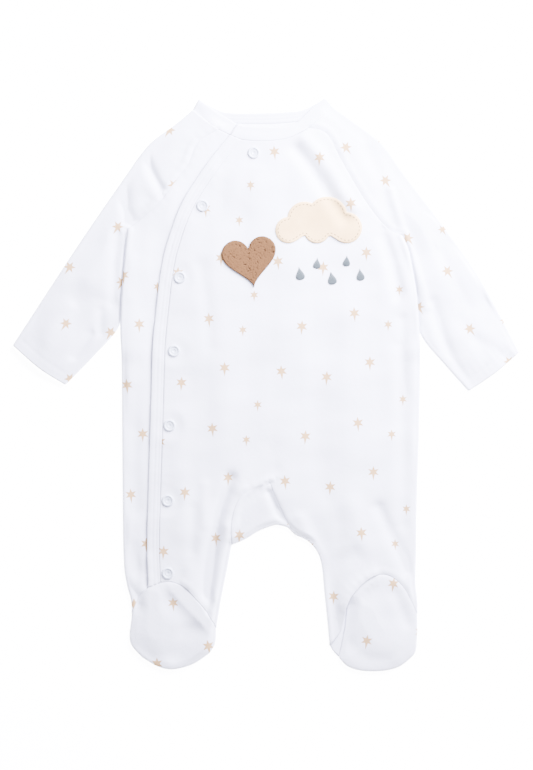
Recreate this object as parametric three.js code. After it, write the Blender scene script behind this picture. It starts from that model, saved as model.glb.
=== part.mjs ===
// A footed baby sleepsuit laid flat on its back, in millimetres, +Z up.
// x runs to the viewer's right and y up from the toes to the neck; left and right are the viewer's.
import * as THREE from "three";

// Driving sizes
const LENGTH = 504;
const CUFF_MIDDLE = 0.25;
const CLOTH = 1.2;
const BAND_CLOTH = 1.8;
const SEAM_GAP = 0.3;
const PLACKET_WIDTH = 10.5;
const UNDERLAP = 28;
const SNAP_DIAMETER = 10.5;
const SNAP_HEIGHT = 1.5;
const EDGE_ROLL = 1.5;
const PUFF = 1.3;
const PUFF_REACH = 26;
const ANKLE = 62;
const SLEEVE_TUCK_REACH = 6;
const TUCK_FADE = 10;
const TUCK_SPAN = { top: 408, topFade: 14, bottom: 268, bottomFade: 18, beside: 60 };
const TROUGH_DEPTH = 0.4;
const EDGE_FADE = 12;
const SLEEVE_EDGE_FADE = 10;
const SLEEVE_PRESSED = 2;
const SLEEVE_RISE = 8;
const WRAP_FADE = 14;
const CLEAR_FADE = 8;
const SNAP_FLAT = 9;
const PATCH_LIFT = 0.45;
const CLOUD_THICKNESS = 1.4;
const TERRY_THICKNESS = 2.2;
const DROP_THICKNESS = 1;

// Heights of the middle of each layer above the surface it lies on
const LAYER_STEP = CLOTH + SEAM_GAP;
const BACK_MID = CLOTH / 2;
const UNDER_MID = BACK_MID + LAYER_STEP;
const OVER_MID = UNDER_MID + LAYER_STEP;
const RIM_LEVEL = CLOTH + SEAM_GAP;
const TUCK_LIFT = 2 * LAYER_STEP;

// How many cells each stretch of a panel is divided into
const CHEST_ROWS = 8;
const BELLY_ROWS = 13;
const LEG_ROWS = 9;
const NECK_CELLS = 5;
const SLEEVE_ROWS = 11;
const LEFT_COLUMNS = 7;
const RIGHT_COLUMNS = 11;
const BACK_COLUMNS = 3;
const UNDER_SHOWN = 3;
const UNDER_HIDDEN = 2;
const ARCH_ROWS = 6;
const FOOT_ROWS = 4;
const SOLE_CELLS = 6;
const TOE_CELLS = 12;
const OUTLINE_CELLS = 36;
const DROP_CELLS = 12;
const SNAP_CELLS = 16;

// Side edges of the body: height up from the toes, then x of each side
const BODY_SIDES = [
  { y: 388, left: -122, right: 118 },
  { y: 372, left: -123.5, right: 125 },
  { y: 355, left: -125, right: 129 },
  { y: 330, left: -127, right: 133 },
  { y: 300, left: -128, right: 135 },
  { y: 275, left: -127, right: 136 },
  { y: 212, left: -126.5, right: 135 },
  { y: 150, left: -126, right: 133 },
  { y: 112, left: -125.5, right: 132.5 },
  { y: 90, left: -124.5, right: 132 },
  { y: 75, left: -122, right: 132 },
  { y: 62, left: -118.5, right: 133.5 },
  { y: 50, left: -118, right: 133.5 },
];

// Seams and edges that curve: x and y of the points each one passes through
const SEAMS = {
  raglanLeft: [
    { x: -41.5, y: 477 },
    { x: -60, y: 464.5 },
    { x: -69, y: 445 },
    { x: -84, y: 425 },
    { x: -99.5, y: 406 },
    { x: -122, y: 388 },
  ],
  raglanRight: [
    { x: 38, y: 478 },
    { x: 50.5, y: 475 },
    { x: 58, y: 467 },
    { x: 66, y: 450.5 },
    { x: 87, y: 414.5 },
    { x: 106.5, y: 390 },
    { x: 120, y: 383 },
  ],
  placketSeam: [
    { x: -21.5, y: 468 },
    { x: -43.5, y: 440 },
    { x: -64, y: 408 },
    { x: -76, y: 376 },
    { x: -82, y: 350 },
    { x: -86.5, y: 312 },
    { x: -89, y: 283 },
    { x: -90.5, y: 231 },
    { x: -93, y: 149 },
    { x: -93.8, y: 109 },
    { x: -92.6, y: 78.3 },
  ],
  crotchLeft: [
    { x: 9, y: 129 },
    { x: -5, y: 124 },
    { x: -17.5, y: 116.5 },
    { x: -30, y: 111 },
  ],
  crotchRight: [
    { x: 9, y: 129 },
    { x: 19, y: 126.5 },
    { x: 26.5, y: 119.5 },
  ],
  gussetArch: [
    { x: 4, y: 165.5 },
    { x: -10, y: 161.5 },
    { x: -20, y: 156 },
    { x: -26, y: 147.5 },
    { x: -30, y: 134 },
    { x: -31, y: 121.5 },
    { x: -30, y: 111 },
  ],
  gussetFold: [
    { x: 4, y: 165.5 },
    { x: 8, y: 155 },
    { x: 17, y: 135 },
    { x: 26.5, y: 119.5 },
  ],
  insideLegLeft: [
    { x: -30, y: 111 },
    { x: -33.5, y: 92 },
    { x: -38.5, y: 67 },
    { x: -43.5, y: 37.5 },
  ],
  insideLegRight: [
    { x: 26.5, y: 119.5 },
    { x: 39, y: 113 },
    { x: 48, y: 98 },
    { x: 51.5, y: 68.5 },
    { x: 54, y: 44 },
    { x: 56, y: 23 },
  ],
  vampLeftOuter: [
    { x: -118, y: 50 },
    { x: -112, y: 65 },
    { x: -103, y: 74 },
  ],
  vampLeftPlacket: [
    { x: -103, y: 74 },
    { x: -98, y: 76.5 },
    { x: -92.6, y: 78.3 },
  ],
  vampLeftInner: [
    { x: -92.6, y: 78.3 },
    { x: -86, y: 79 },
    { x: -79, y: 77.5 },
    { x: -70.5, y: 73.5 },
    { x: -62, y: 64 },
    { x: -52, y: 52 },
    { x: -43.5, y: 37.5 },
  ],
  vampArcRight: [
    { x: 71, y: 57 },
    { x: 75, y: 66 },
    { x: 83.5, y: 75.5 },
    { x: 92.5, y: 82.5 },
    { x: 102, y: 85.5 },
    { x: 111, y: 83 },
    { x: 118.5, y: 77 },
    { x: 124.5, y: 68.5 },
    { x: 133.5, y: 50 },
  ],
  soleSeamRight: [
    { x: 56, y: 23 },
    { x: 66, y: 36 },
    { x: 71, y: 57 },
  ],
  vampSideRight: [
    { x: 71, y: 57 },
    { x: 69, y: 37.5 },
    { x: 64, y: 12.5 },
  ],
  footLeftOuter: [
    { x: -118, y: 50 },
    { x: -119.5, y: 26.5 },
    { x: -109, y: 12.5 },
  ],
  toesLeft: [
    { x: -109, y: 12.5 },
    { x: -96.5, y: 5 },
    { x: -85.5, y: 1.8 },
    { x: -74, y: 3 },
    { x: -62, y: 7.5 },
    { x: -49.5, y: 16 },
  ],
  footLeftInner: [
    { x: -43.5, y: 37.5 },
    { x: -44.5, y: 24.5 },
    { x: -49.5, y: 16 },
  ],
  heelRight: [
    { x: 56, y: 23 },
    { x: 58.5, y: 18 },
    { x: 64, y: 12.5 },
  ],
  toesRight: [
    { x: 64, y: 12.5 },
    { x: 71, y: 5 },
    { x: 81.5, y: 1 },
    { x: 95, y: 0 },
    { x: 108, y: 1.2 },
    { x: 118.5, y: 4.8 },
    { x: 127, y: 11.5 },
  ],
  footRightOuter: [
    { x: 133.5, y: 50 },
    { x: 133.5, y: 34 },
    { x: 132, y: 18 },
    { x: 127, y: 11.5 },
  ],
  sleeveLeftOuter: [
    { x: -64, y: 494 },
    { x: -80, y: 480.5 },
    { x: -103, y: 463 },
    { x: -126.5, y: 431 },
    { x: -167, y: 372 },
    { x: -222.5, y: 287 },
  ],
  cuffLeft: [
    { x: -222.5, y: 287 },
    { x: -199, y: 266.5 },
    { x: -176, y: 252 },
  ],
  sleeveLeftInner: [
    { x: -122, y: 388 },
    { x: -120.5, y: 360 },
    { x: -122.5, y: 326.5 },
    { x: -130, y: 301.5 },
    { x: -152, y: 276.5 },
    { x: -176, y: 252 },
  ],
  sleeveRightOuter: [
    { x: 58, y: 498.5 },
    { x: 64, y: 493.5 },
    { x: 96.5, y: 470 },
    { x: 107.5, y: 458.5 },
    { x: 122, y: 438 },
    { x: 183.5, y: 354 },
    { x: 223, y: 281 },
  ],
  cuffRight: [
    { x: 223, y: 281 },
    { x: 201.5, y: 262.5 },
    { x: 178, y: 246.5 },
  ],
  sleeveRightInner: [
    { x: 120, y: 383 },
    { x: 124.5, y: 360 },
    { x: 128.5, y: 326.5 },
    { x: 136, y: 296 },
    { x: 157.5, y: 269.5 },
    { x: 178, y: 246.5 },
  ],
  bandLeftSleeve: [
    { x: -64, y: 494 },
    { x: -50, y: 482.5 },
    { x: -41.5, y: 477 },
  ],
  bandLeftPanel: [
    { x: -41.5, y: 477 },
    { x: -31, y: 472 },
  ],
  bandLeftHidden: [
    { x: -31, y: 472 },
    { x: -18.5, y: 465.5 },
  ],
  bandLeftEdge: [
    { x: -59, y: 503 },
    { x: -46.5, y: 493.7 },
    { x: -35, y: 486.7 },
    { x: -25.5, y: 481 },
    { x: -14, y: 475 },
  ],
  bandOverPlacket: [
    { x: -31, y: 472 },
    { x: -21.5, y: 468 },
  ],
  bandOverLeft: [
    { x: -21.5, y: 468 },
    { x: -10, y: 466.8 },
    { x: 4, y: 466.7 },
  ],
  bandOverRight: [
    { x: 4, y: 466.7 },
    { x: 19.5, y: 469 },
    { x: 30, y: 473.3 },
    { x: 38, y: 478 },
  ],
  bandRightSleeve: [
    { x: 38, y: 478 },
    { x: 48.5, y: 488 },
    { x: 58, y: 498.5 },
  ],
  bandOverEdge: [
    { x: -25.5, y: 481 },
    { x: -17.5, y: 479 },
    { x: 0, y: 478.4 },
    { x: 17, y: 478.8 },
    { x: 26.5, y: 481.8 },
    { x: 33.5, y: 487.5 },
    { x: 42, y: 496 },
    { x: 52, y: 504 },
  ],
  bandBackEdge: [
    { x: -59, y: 503 },
    { x: -42, y: 493.7 },
    { x: -30, y: 491 },
    { x: 0, y: 491 },
    { x: 18.5, y: 492 },
    { x: 31.5, y: 493.3 },
    { x: 43.5, y: 498.7 },
    { x: 52, y: 504 },
  ],
  bandBackSeam: [
    { x: -64, y: 494 },
    { x: -45, y: 485 },
    { x: -31.5, y: 482.2 },
    { x: 0, y: 481.8 },
    { x: 18.5, y: 482.8 },
    { x: 30, y: 484.4 },
    { x: 43, y: 490 },
    { x: 58, y: 498.5 },
  ],
};

// Largest folds: from one end to the other, height of the ridge (a trough is negative) and half width
const FOLDS = [
  { x1: -99, y1: 457, x2: -85, y2: 426, rise: -0.9, width: 7 },
  { x1: -121, y1: 427, x2: -116, y2: 393, rise: -0.9, width: 7 },
  { x1: -153, y1: 295, x2: -168, y2: 276, rise: -0.8, width: 6 },
  { x1: 108, y1: 430, x2: 124, y2: 389, rise: 1, width: 7 },
  { x1: 124, y1: 389, x2: 142, y2: 322, rise: 1.2, width: 7 },
  { x1: 150, y1: 326, x2: 176, y2: 254, rise: -1, width: 6 },
  { x1: 43, y1: 467, x2: 61, y2: 432, rise: -0.9, width: 11 },
  { x1: 61, y1: 432, x2: 87, y2: 370, rise: -0.9, width: 12 },
  { x1: 106, y1: 389, x2: 120, y2: 335, rise: -0.9, width: 7 },
  { x1: 122, y1: 309, x2: 123, y2: 245, rise: -0.8, width: 6 },
  { x1: -53, y1: 357, x2: -45, y2: 287, rise: -0.6, width: 10 },
  { x1: -46, y1: 170, x2: -52, y2: 127, rise: 1.1, width: 7 },
  { x1: -35, y1: 152, x2: -37, y2: 139, rise: -0.8, width: 6 },
  { x1: -47, y1: 119, x2: -43, y2: 87, rise: -1.2, width: 6 },
  { x1: -77, y1: 72, x2: -48, y2: 42, rise: 0.9, width: 5 },
  { x1: 70, y1: 80, x2: 92, y2: 96, rise: -1, width: 6 },
  { x1: 102, y1: 156, x2: 114, y2: 127, rise: -0.8, width: 7 },
  { x1: 117, y1: 69, x2: 126, y2: 44, rise: -0.8, width: 6 },
];

// Centres of the snaps
const SNAPS = [
  { x: -10.5, y: 456 },
  { x: -55.5, y: 409.5 },
  { x: -75.5, y: 346.5 },
  { x: -80.5, y: 282 },
  { x: -84.5, y: 216.5 },
  { x: -86, y: 150.5 },
  { x: -86, y: 86.7 },
];

// Embroidered drops: centre, tilt in degrees and length
const DROPS = [
  { x: 30, y: 350, tilt: 8, length: 12 },
  { x: 45, y: 359, tilt: -6, length: 10 },
  { x: 58, y: 346, tilt: 10, length: 12 },
  { x: 71, y: 361, tilt: -4, length: 10 },
  { x: 83, y: 349, tilt: 6, length: 11 },
];

// The cloud patch: round puffs around its centre
const CLOUD_CENTRE = { x: 45, y: 393 };
const CLOUD_PUFFS = [
  { x: -25, y: -5, radius: 11.5 },
  { x: -11, y: 5, radius: 15 },
  { x: 9, y: 7, radius: 17.5 },
  { x: 26, y: -3, radius: 13.5 },
  { x: 0, y: -5, radius: 11.5 },
];
const HEART = { x: -14, y: 363, halfWidth: 24, tilt: 9 };

const MATERIALS = {
  cloth: { color: 0xf6f6fa, roughness: 0.92 },
  band: { color: 0xf3f3f8, roughness: 0.92 },
  snap: { color: 0xeceef3, roughness: 0.35 },
  cream: { color: 0xf6ece2, roughness: 0.9 },
  terry: { color: 0xc49a7d, roughness: 1 },
  thread: { color: 0x8d9ca6, roughness: 0.6 },
};

const UP = new THREE.Vector3(0, 0, 1);

function smooth(t) {
  const c = Math.min(1, Math.max(0, t));
  return c * c * (3 - 2 * c);
}

function mix(a, b, t) {
  return a + (b - a) * t;
}

function between(p, q, t) {
  return new THREE.Vector2(mix(p.x, q.x, t), mix(p.y, q.y, t));
}

function curveThrough(rows) {
  return new THREE.SplineCurve(rows.map((row) => new THREE.Vector2(row.x, row.y)));
}

// Cuts a curve into cells of equal length
function divide(curve, cells) {
  return Array.from({ length: cells + 1 }, (_, k) => curve.getPointAt(k / cells));
}

function straight(p, q, cells) {
  return Array.from({ length: cells + 1 }, (_, k) => between(p, q, k / cells));
}

function chain(...lines) {
  return lines.reduce((all, line) => all.concat(line.slice(1)));
}

const curves = Object.fromEntries(Object.entries(SEAMS).map(([name, rows]) => [name, curveThrough(rows)]));

// The point of a falling line at a height
function atHeight(line, y) {
  const after = Math.max(1, line.findIndex((p) => p.y <= y));
  const a = line[after - 1];
  const b = line[after];
  return between(a, b, (a.y - y) / (a.y - b.y));
}

// One side of the body from its armpit down to the foot
function sideLine(side, top) {
  const full = curveThrough(BODY_SIDES.map((row) => ({ x: row[side], y: row.y })));
  return full.getSpacedPoints(300).filter((p) => p.y < top);
}

// The edges where the cloth turns over, as fine lines for measuring distances
const FINE = 60;
const armpitLeft = curves.raglanLeft.getPoint(1);
const armpitRight = curves.raglanRight.getPoint(1);
const sideLeft = [armpitLeft, ...sideLine("left", armpitLeft.y)];
const sideRight = [armpitRight, ...sideLine("right", armpitRight.y)];
const fine = (name) => curves[name].getSpacedPoints(FINE);
const bodyEdges = [
  sideLeft,
  ...["footLeftOuter", "toesLeft", "footLeftInner", "insideLegLeft", "crotchLeft", "crotchRight"].map(fine),
  ...["insideLegRight", "heelRight", "toesRight", "footRightOuter"].map(fine),
  sideRight,
];
const sleeveOuterEdges = [fine("sleeveLeftOuter"), fine("sleeveRightOuter")];
const sleeveEdges = [...sleeveOuterEdges, fine("sleeveLeftInner"), fine("sleeveRightInner")];
const vampEdges = [...bodyEdges, fine("vampSideRight")];

function segmentDistance(x, y, a, b) {
  const dx = b.x - a.x;
  const dy = b.y - a.y;
  const along = ((x - a.x) * dx + (y - a.y) * dy) / (dx * dx + dy * dy || 1);
  const t = Math.min(1, Math.max(0, along));
  return Math.hypot(x - a.x - t * dx, y - a.y - t * dy);
}

function distanceTo(lines, x, y) {
  let nearest = Infinity;
  for (const line of lines)
    for (let k = 1; k < line.length; k++)
      nearest = Math.min(nearest, segmentDistance(x, y, line[k - 1], line[k]));
  return nearest;
}

// Height that the folds add: a bell across each fold that fades towards its ends
function foldHeight(x, y) {
  let height = 0;
  for (const f of FOLDS) {
    const across = segmentDistance(x, y, { x: f.x1, y: f.y1 }, { x: f.x2, y: f.y2 }) / f.width;
    height += f.rise * Math.exp(-across * across);
  }
  return height;
}

// Share of the lift that the body's side edges get where a sleeve lies under them
function tuckShare(x, y) {
  const top = smooth((TUCK_SPAN.top - y) / TUCK_SPAN.topFade);
  const bottom = smooth((y - TUCK_SPAN.bottom) / TUCK_SPAN.bottomFade);
  return Math.abs(x) > TUCK_SPAN.beside ? top * bottom : 0;
}

// Quarter round at an edge
function roll(distance, radius) {
  const d = Math.min(Math.max(distance, 0), radius);
  return Math.sqrt(radius * radius - (radius - d) ** 2);
}

// Middle height of the front's top layer, from its distance to the edges that turn over
function frontLevel(x, y, edges = bodyEdges, lifted = true) {
  const d = distanceTo(edges, x, y) - CLOTH / 2;
  const shared = Math.min(d, distanceTo(sleeveOuterEdges, x, y));
  const rim = RIM_LEVEL + (lifted ? TUCK_LIFT * tuckShare(x, y) : 0);
  const rolled = rim + roll(d, EDGE_ROLL);
  const open = OVER_MID + PUFF * smooth(shared / PUFF_REACH) + foldHeight(x, y);
  return mix(rolled, Math.max(open, OVER_MID - TROUGH_DEPTH), smooth((d - EDGE_ROLL) / EDGE_FADE));
}

// Moves a line of points sideways, to the right of the way it runs
function beside(line, distance) {
  return line.map((p, k) => {
    const ahead = line[Math.min(k + 1, line.length - 1)];
    const behind = line[Math.max(k - 1, 0)];
    const along = ahead.clone().sub(behind).normalize();
    return new THREE.Vector2(p.x + along.y * distance, p.y - along.x * distance);
  });
}

// The wrap's edge lies one placket's width outside the placket's seam
const wrapLine = beside(divide(curves.placketSeam, FINE), PLACKET_WIDTH);

// How far a point lies outside the wrap's edge, on the side where the under panel shows
function outsideWrap(x, y) {
  let k = 1;
  while (k < wrapLine.length - 1 && wrapLine[k].y > y) k++;
  const a = wrapLine[k - 1];
  const b = wrapLine[k];
  const side = (b.x - a.x) * (y - a.y) - (b.y - a.y) * (x - a.x);
  return side < 0 ? distanceTo([wrapLine], x, y) : 0;
}

// The under panel lies low beneath the wrap and rises to the front's height outside it
function underLevel(x, y) {
  const open = frontLevel(x, y);
  const d = distanceTo(bodyEdges, x, y) - CLOTH / 2;
  const shown = Math.max(smooth(outsideWrap(x, y) / WRAP_FADE), 1 - smooth(d / WRAP_FADE));
  return mix(Math.min(open, UNDER_MID), open, shown);
}

// The over panel clears the layer below it and is level around each snap
function overLevel(x, y) {
  const level = clearLevel(x, y);
  for (const snap of SNAPS) {
    const r = Math.hypot(x - snap.x, y - snap.y);
    if (r < SNAP_FLAT * 2) return mix(clearLevel(snap.x, snap.y), level, smooth(r / SNAP_FLAT - 1));
  }
  return level;
}

function clearLevel(x, y) {
  const level = frontLevel(x, y);
  const inside = smooth(distanceTo(bodyEdges, x, y) / CLEAR_FADE - 1);
  return Math.max(level, mix(level, OVER_MID, inside));
}

const bandLevel = (x, y) => overLevel(x, y) + (BAND_CLOTH - CLOTH) / 2;
const flatLevel = () => BACK_MID;
const vampLevel = (x, y) => frontLevel(x, y, vampEdges, false);

// How far a point lies outside the body's side edge; negative where the body lies over it
function outsideBody(x, y) {
  const line = x < 0 ? sideLeft : sideRight;
  const distance = distanceTo([line], x, y);
  if (y > line[0].y) return distance;
  return Math.abs(x) > Math.abs(atHeight(line, y).x) ? distance : -distance;
}

// Share of a sleeve's full height: none where the body presses on it
const sleeveFree = (x, y) => smooth((outsideBody(x, y) - SLEEVE_PRESSED) / SLEEVE_RISE);
const sleeveRadius = (x, y) => mix(LAYER_STEP / 2, EDGE_ROLL, sleeveFree(x, y));

function sleeveTop(x, y) {
  const radius = sleeveRadius(x, y);
  const d = distanceTo(sleeveEdges, x, y) - CLOTH / 2;
  const open = OVER_MID + PUFF * smooth(d / PUFF_REACH) + foldHeight(x, y);
  const top = mix(UNDER_MID, Math.max(open, OVER_MID - TROUGH_DEPTH), sleeveFree(x, y));
  return mix(BACK_MID + radius + roll(d, radius), top, smooth((d - radius) / SLEEVE_EDGE_FADE));
}

function sleeveUnder(x, y) {
  const radius = sleeveRadius(x, y);
  return BACK_MID + radius - roll(distanceTo(sleeveEdges, x, y) - CLOTH / 2, radius);
}

function backLevel(x, y) {
  const d = distanceTo(bodyEdges, x, y);
  const lift = TUCK_LIFT * tuckShare(x, y);
  return BACK_MID + lift * (1 - smooth((d - SLEEVE_TUCK_REACH) / TUCK_FADE));
}

// A grid of points between four lines of points: each inner point is the blend of the two facing pairs,
// less the blend of the corners. Rows run from top to bottom and columns from left to right.
function patch({ left, right, top, bottom }) {
  const rows = left.length - 1;
  const columns = top.length - 1;
  return left.map((_, i) =>
    top.map((_, j) => {
      const v = i / rows;
      const u = j / columns;
      const p = between(top[j], bottom[j], v).add(between(left[i], right[i], u));
      const corners = between(between(top[0], top[columns], u), between(bottom[0], bottom[columns], u), v);
      return p.sub(corners);
    }),
  );
}

const ROLL_STEPS = [1, 2.2];
const SLEEVE_STEPS = [...ROLL_STEPS, SLEEVE_TUCK_REACH];
const TUCK_STEPS = [SLEEVE_TUCK_REACH, 11, SLEEVE_TUCK_REACH + TUCK_FADE];

// Adds columns close to a patch's left side; share tells each row how far they gather at the edge
function gatherLeft(grid, steps, share = () => 1) {
  return grid.map((row, i) => {
    const width = row[0].distanceTo(row[1]);
    const extra = steps.map((step, k) => {
      const even = (k + 1) / (steps.length + 1);
      const gathered = Math.min(step / width, 0.9 * even + 0.1 * (k + 1) / steps.length);
      return between(row[0], row[1], mix(even, gathered, share(i / (grid.length - 1))));
    });
    return [row[0], ...extra, ...row.slice(1)];
  });
}

const mirrored = (grid) => grid.map((row) => [...row].reverse());
const gatherRight = (grid, steps, share) => mirrored(gatherLeft(mirrored(grid), steps, share));

// Joins patches into one sheet of points and four-sided faces
function sheetOf(grids) {
  const points = [];
  const faces = [];
  const find = (p) => {
    const known = points.findIndex((q) => Math.abs(q.x - p.x) < 1e-4 && Math.abs(q.y - p.y) < 1e-4);
    if (known >= 0) return known;
    points.push(p.clone());
    return points.length - 1;
  };
  for (const grid of grids) {
    const ids = grid.map((row) => row.map(find));
    for (let i = 1; i < ids.length; i++)
      for (let j = 1; j < ids[i].length; j++)
        faces.push([ids[i - 1][j - 1], ids[i][j - 1], ids[i][j], ids[i - 1][j]]);
  }
  return { points, faces };
}

// Least sine of the angle at a corner of the rim; flatter ones count as straight
const IN_LINE = 0.15;
const EDGE_MATCH = 0.7;

// Directed edges that belong to one face only, as a map from each point to the next
function rimOf(faces) {
  const all = new Set();
  for (const face of faces) face.forEach((a, k) => all.add(`${a},${face[(k + 1) % face.length]}`));
  const next = new Map();
  for (const edge of all) {
    const [a, b] = edge.split(",").map(Number);
    if (!all.has(`${b},${a}`)) next.set(a, b);
  }
  return next;
}

// Moves the rim inwards: half the cloth at an edge that turns over, half the gap at a seam. Notes which
// way the cloth faces on the rim: outwards where it turns over, straight up at a seam, and along the
// seam at a corner of both
function insetRim(sheet, edges) {
  const next = rimOf(sheet.faces);
  const before = new Map([...next].map(([a, b]) => [b, a]));
  const insetOf = (a, b) => {
    const m = between(sheet.points[a], sheet.points[b], 0.5);
    return distanceTo(edges, m.x, m.y) < EDGE_MATCH ? CLOTH / 2 : SEAM_GAP / 2;
  };
  const moved = new Map();
  sheet.rimNormals = new Map();
  for (const [a, b] of next) {
    const z = before.get(a);
    const p = sheet.points[a];
    const d1 = p.clone().sub(sheet.points[z]).normalize();
    const d2 = sheet.points[b].clone().sub(p).normalize();
    const n1 = new THREE.Vector2(-d1.y, d1.x);
    const n2 = new THREE.Vector2(-d2.y, d2.x);
    const s1 = insetOf(z, a);
    const s2 = insetOf(a, b);
    const cross = d1.x * d2.y - d1.y * d2.x;
    const inLine = Math.abs(cross) < IN_LINE;
    const turns = [s1, s2].map((inset) => inset === CLOTH / 2);
    const outwards = n1.clone().add(n2).negate();
    const alongSeam = turns[0] ? d2.clone().negate() : d1;
    const way = turns[0] && turns[1] ? outwards : alongSeam;
    const upright = (!turns[0] && !turns[1]) || (turns[0] !== turns[1] && inLine);
    sheet.rimNormals.set(a, upright ? UP : new THREE.Vector3(way.x, way.y, 0).normalize());
    if (inLine) {
      moved.set(a, p.clone().addScaledVector(n1.add(n2).normalize(), (s1 + s2) / 2));
      continue;
    }
    const inner = p.clone().addScaledVector(d1, -s2 / cross).addScaledVector(d2, s1 / cross);
    moved.set(a, inner);
  }
  for (const [a, p] of moved) sheet.points[a].copy(p);
  return sheet;
}

const STEP = 0.05;

// Upward unit normal of a height function
function normalAt(level, x, y) {
  const sx = (level(x + STEP, y) - level(x - STEP, y)) / (2 * STEP);
  const sy = (level(x, y + STEP) - level(x, y - STEP)) / (2 * STEP);
  return new THREE.Vector3(-sx, -sy, 1).normalize();
}

function solidFrom(vertices, faces) {
  const index = [];
  for (const face of faces)
    for (let k = 2; k < face.length; k++) index.push(face[0], face[k - 1], face[k]);
  const geometry = new THREE.BufferGeometry();
  const positions = vertices.flatMap((v) => v.toArray());
  geometry.setAttribute("position", new THREE.Float32BufferAttribute(positions, 3));
  geometry.setIndex(index);
  geometry.computeVertexNormals();
  return geometry;
}

// Gives a surface its wall: both skins lie half the thickness off its points, joined round the rim
function thicken(points, normals, faces, thickness) {
  const half = thickness / 2;
  const outer = points.map((p, k) => p.clone().addScaledVector(normals[k], half));
  const inner = points.map((p, k) => p.clone().addScaledVector(normals[k], -half));
  const count = points.length;
  const skins = faces.flatMap((face) => [face, [...face].reverse().map((k) => k + count)]);
  const rim = [...rimOf(faces)].map(([a, b]) => [b, a, a + count, b + count]);
  return solidFrom([...outer, ...inner], [...skins, ...rim]);
}

// A panel: a sheet at its middle height. Its seams stay clear of the layer below, which reaches up to lowest
function wall(sheet, level, thickness = CLOTH, lowest = 0) {
  const points = sheet.points.map((p, k) => {
    const z = level(p.x, p.y);
    const atSeam = sheet.rimNormals.get(k) === UP;
    return new THREE.Vector3(p.x, p.y, atSeam ? Math.max(z, lowest + thickness / 2) : z);
  });
  const normals = sheet.points.map((p, k) => sheet.rimNormals.get(k) ?? normalAt(level, p.x, p.y));
  return thicken(points, normals, sheet.faces, thickness);
}

const frontWall = (sheet, level) => wall(insetRim(sheet, vampEdges), level, CLOTH, RIM_LEVEL);
const flatWall = (sheet, level) => wall(insetRim(sheet, []), level);

// A sleeve: its top and its under layer share the points of the outer edge, which come first in each row
// of its sheet, and below the armpit those of the inner edge, which come last
function tube(sheet, columns) {
  const count = sheet.points.length;
  const shared = (k) => {
    const row = Math.floor(k / columns);
    const column = k % columns;
    return column === 0 || (column === columns - 1 && row >= CHEST_ROWS);
  };
  const layer = (level, up) =>
    sheet.points.map((p, k) => {
      const turned = shared(k);
      const normal = turned ? sheet.rimNormals.get(k).clone() : normalAt(level, p.x, p.y);
      if (!turned && sheet.rimNormals.has(k)) normal.copy(UP);
      if (!turned) normal.multiplyScalar(up);
      return { point: new THREE.Vector3(p.x, p.y, level(p.x, p.y)), normal };
    });
  const all = [...layer(sleeveTop, 1), ...layer(sleeveUnder, -1)];
  const used = all.map((_, k) => k).filter((k) => k < count || !shared(k - count));
  const place = new Map(used.map((k, n) => [k, n]));
  const under = (k) => (shared(k) ? k : k + count);
  const faces = sheet.faces.flatMap((face) => [face, [...face].reverse().map(under)]);
  const renumbered = faces.map((face) => face.map((k) => place.get(k)));
  return thicken(used.map((k) => all[k].point), used.map((k) => all[k].normal), renumbered, CLOTH);
}

// The viewer's right sleeve has its outer edge on the right, so its faces turn the other way
function sleeveWall(grid, flipped = false) {
  const sheet = sheetOf([grid]);
  if (flipped) sheet.faces.forEach((face) => face.reverse());
  return tube(insetRim(sheet, sleeveEdges), grid[0].length);
}

const suit = new THREE.Group();
suit.position.set(-CUFF_MIDDLE, -LENGTH / 2, 0);

function addPiece(name, geometry, finish) {
  const mesh = new THREE.Mesh(geometry, new THREE.MeshStandardMaterial(MATERIALS[finish]));
  mesh.name = name;
  suit.add(mesh);
  return mesh;
}

// Seams cut into the cells that the panels on both of their sides share
const APEX = curves.gussetArch.getPoint(0);
const BACK_APEX = curves.crotchLeft.getPoint(0);
const chestMiddle = new THREE.Vector2(4, 388);
const seam = {
  raglanLeft: divide(curves.raglanLeft, CHEST_ROWS),
  raglanRight: divide(curves.raglanRight, CHEST_ROWS),
  arch: divide(curves.gussetArch, ARCH_ROWS),
  fold: divide(curves.gussetFold, ARCH_ROWS),
  vampLeftOuter: divide(curves.vampLeftOuter, UNDER_SHOWN),
  vampLeftPlacket: divide(curves.vampLeftPlacket, 1),
  vampLeftInner: divide(curves.vampLeftInner, LEFT_COLUMNS),
  vampRight: divide(curves.vampArcRight, RIGHT_COLUMNS - 3),
  soleRight: divide(curves.soleSeamRight, 3),
  bandLeftSleeve: divide(curves.bandLeftSleeve, NECK_CELLS),
  bandRightSleeve: divide(curves.bandRightSleeve, NECK_CELLS),
  bandLeftPanel: divide(curves.bandLeftPanel, UNDER_SHOWN),
  bandLeftHidden: divide(curves.bandLeftHidden, UNDER_HIDDEN),
  bandOverLeft: divide(curves.bandOverLeft, LEFT_COLUMNS),
  bandOverRight: divide(curves.bandOverRight, RIGHT_COLUMNS),
};

// A stretch of a falling line between two heights, in cells of equal height
function stretch(line, top, bottom, cells) {
  return Array.from({ length: cells + 1 }, (_, k) => atHeight(line, mix(top, bottom, k / cells)));
}

const footY = curves.vampLeftOuter.getPoint(0).y;

const placketFine = divide(curves.placketSeam, 400);
const placketFoot = placketFine[placketFine.length - 1];
const placketRows = chain(
  stretch(placketFine, placketFine[0].y, chestMiddle.y, CHEST_ROWS),
  stretch(placketFine, chestMiddle.y, APEX.y, BELLY_ROWS),
  stretch(placketFine, APEX.y, placketFoot.y, LEG_ROWS),
);
const HIP_ROW = CHEST_ROWS + BELLY_ROWS;
const even = () => 0;
const towardsSeam = (t) => smooth(4 * (1 - t));

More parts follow.
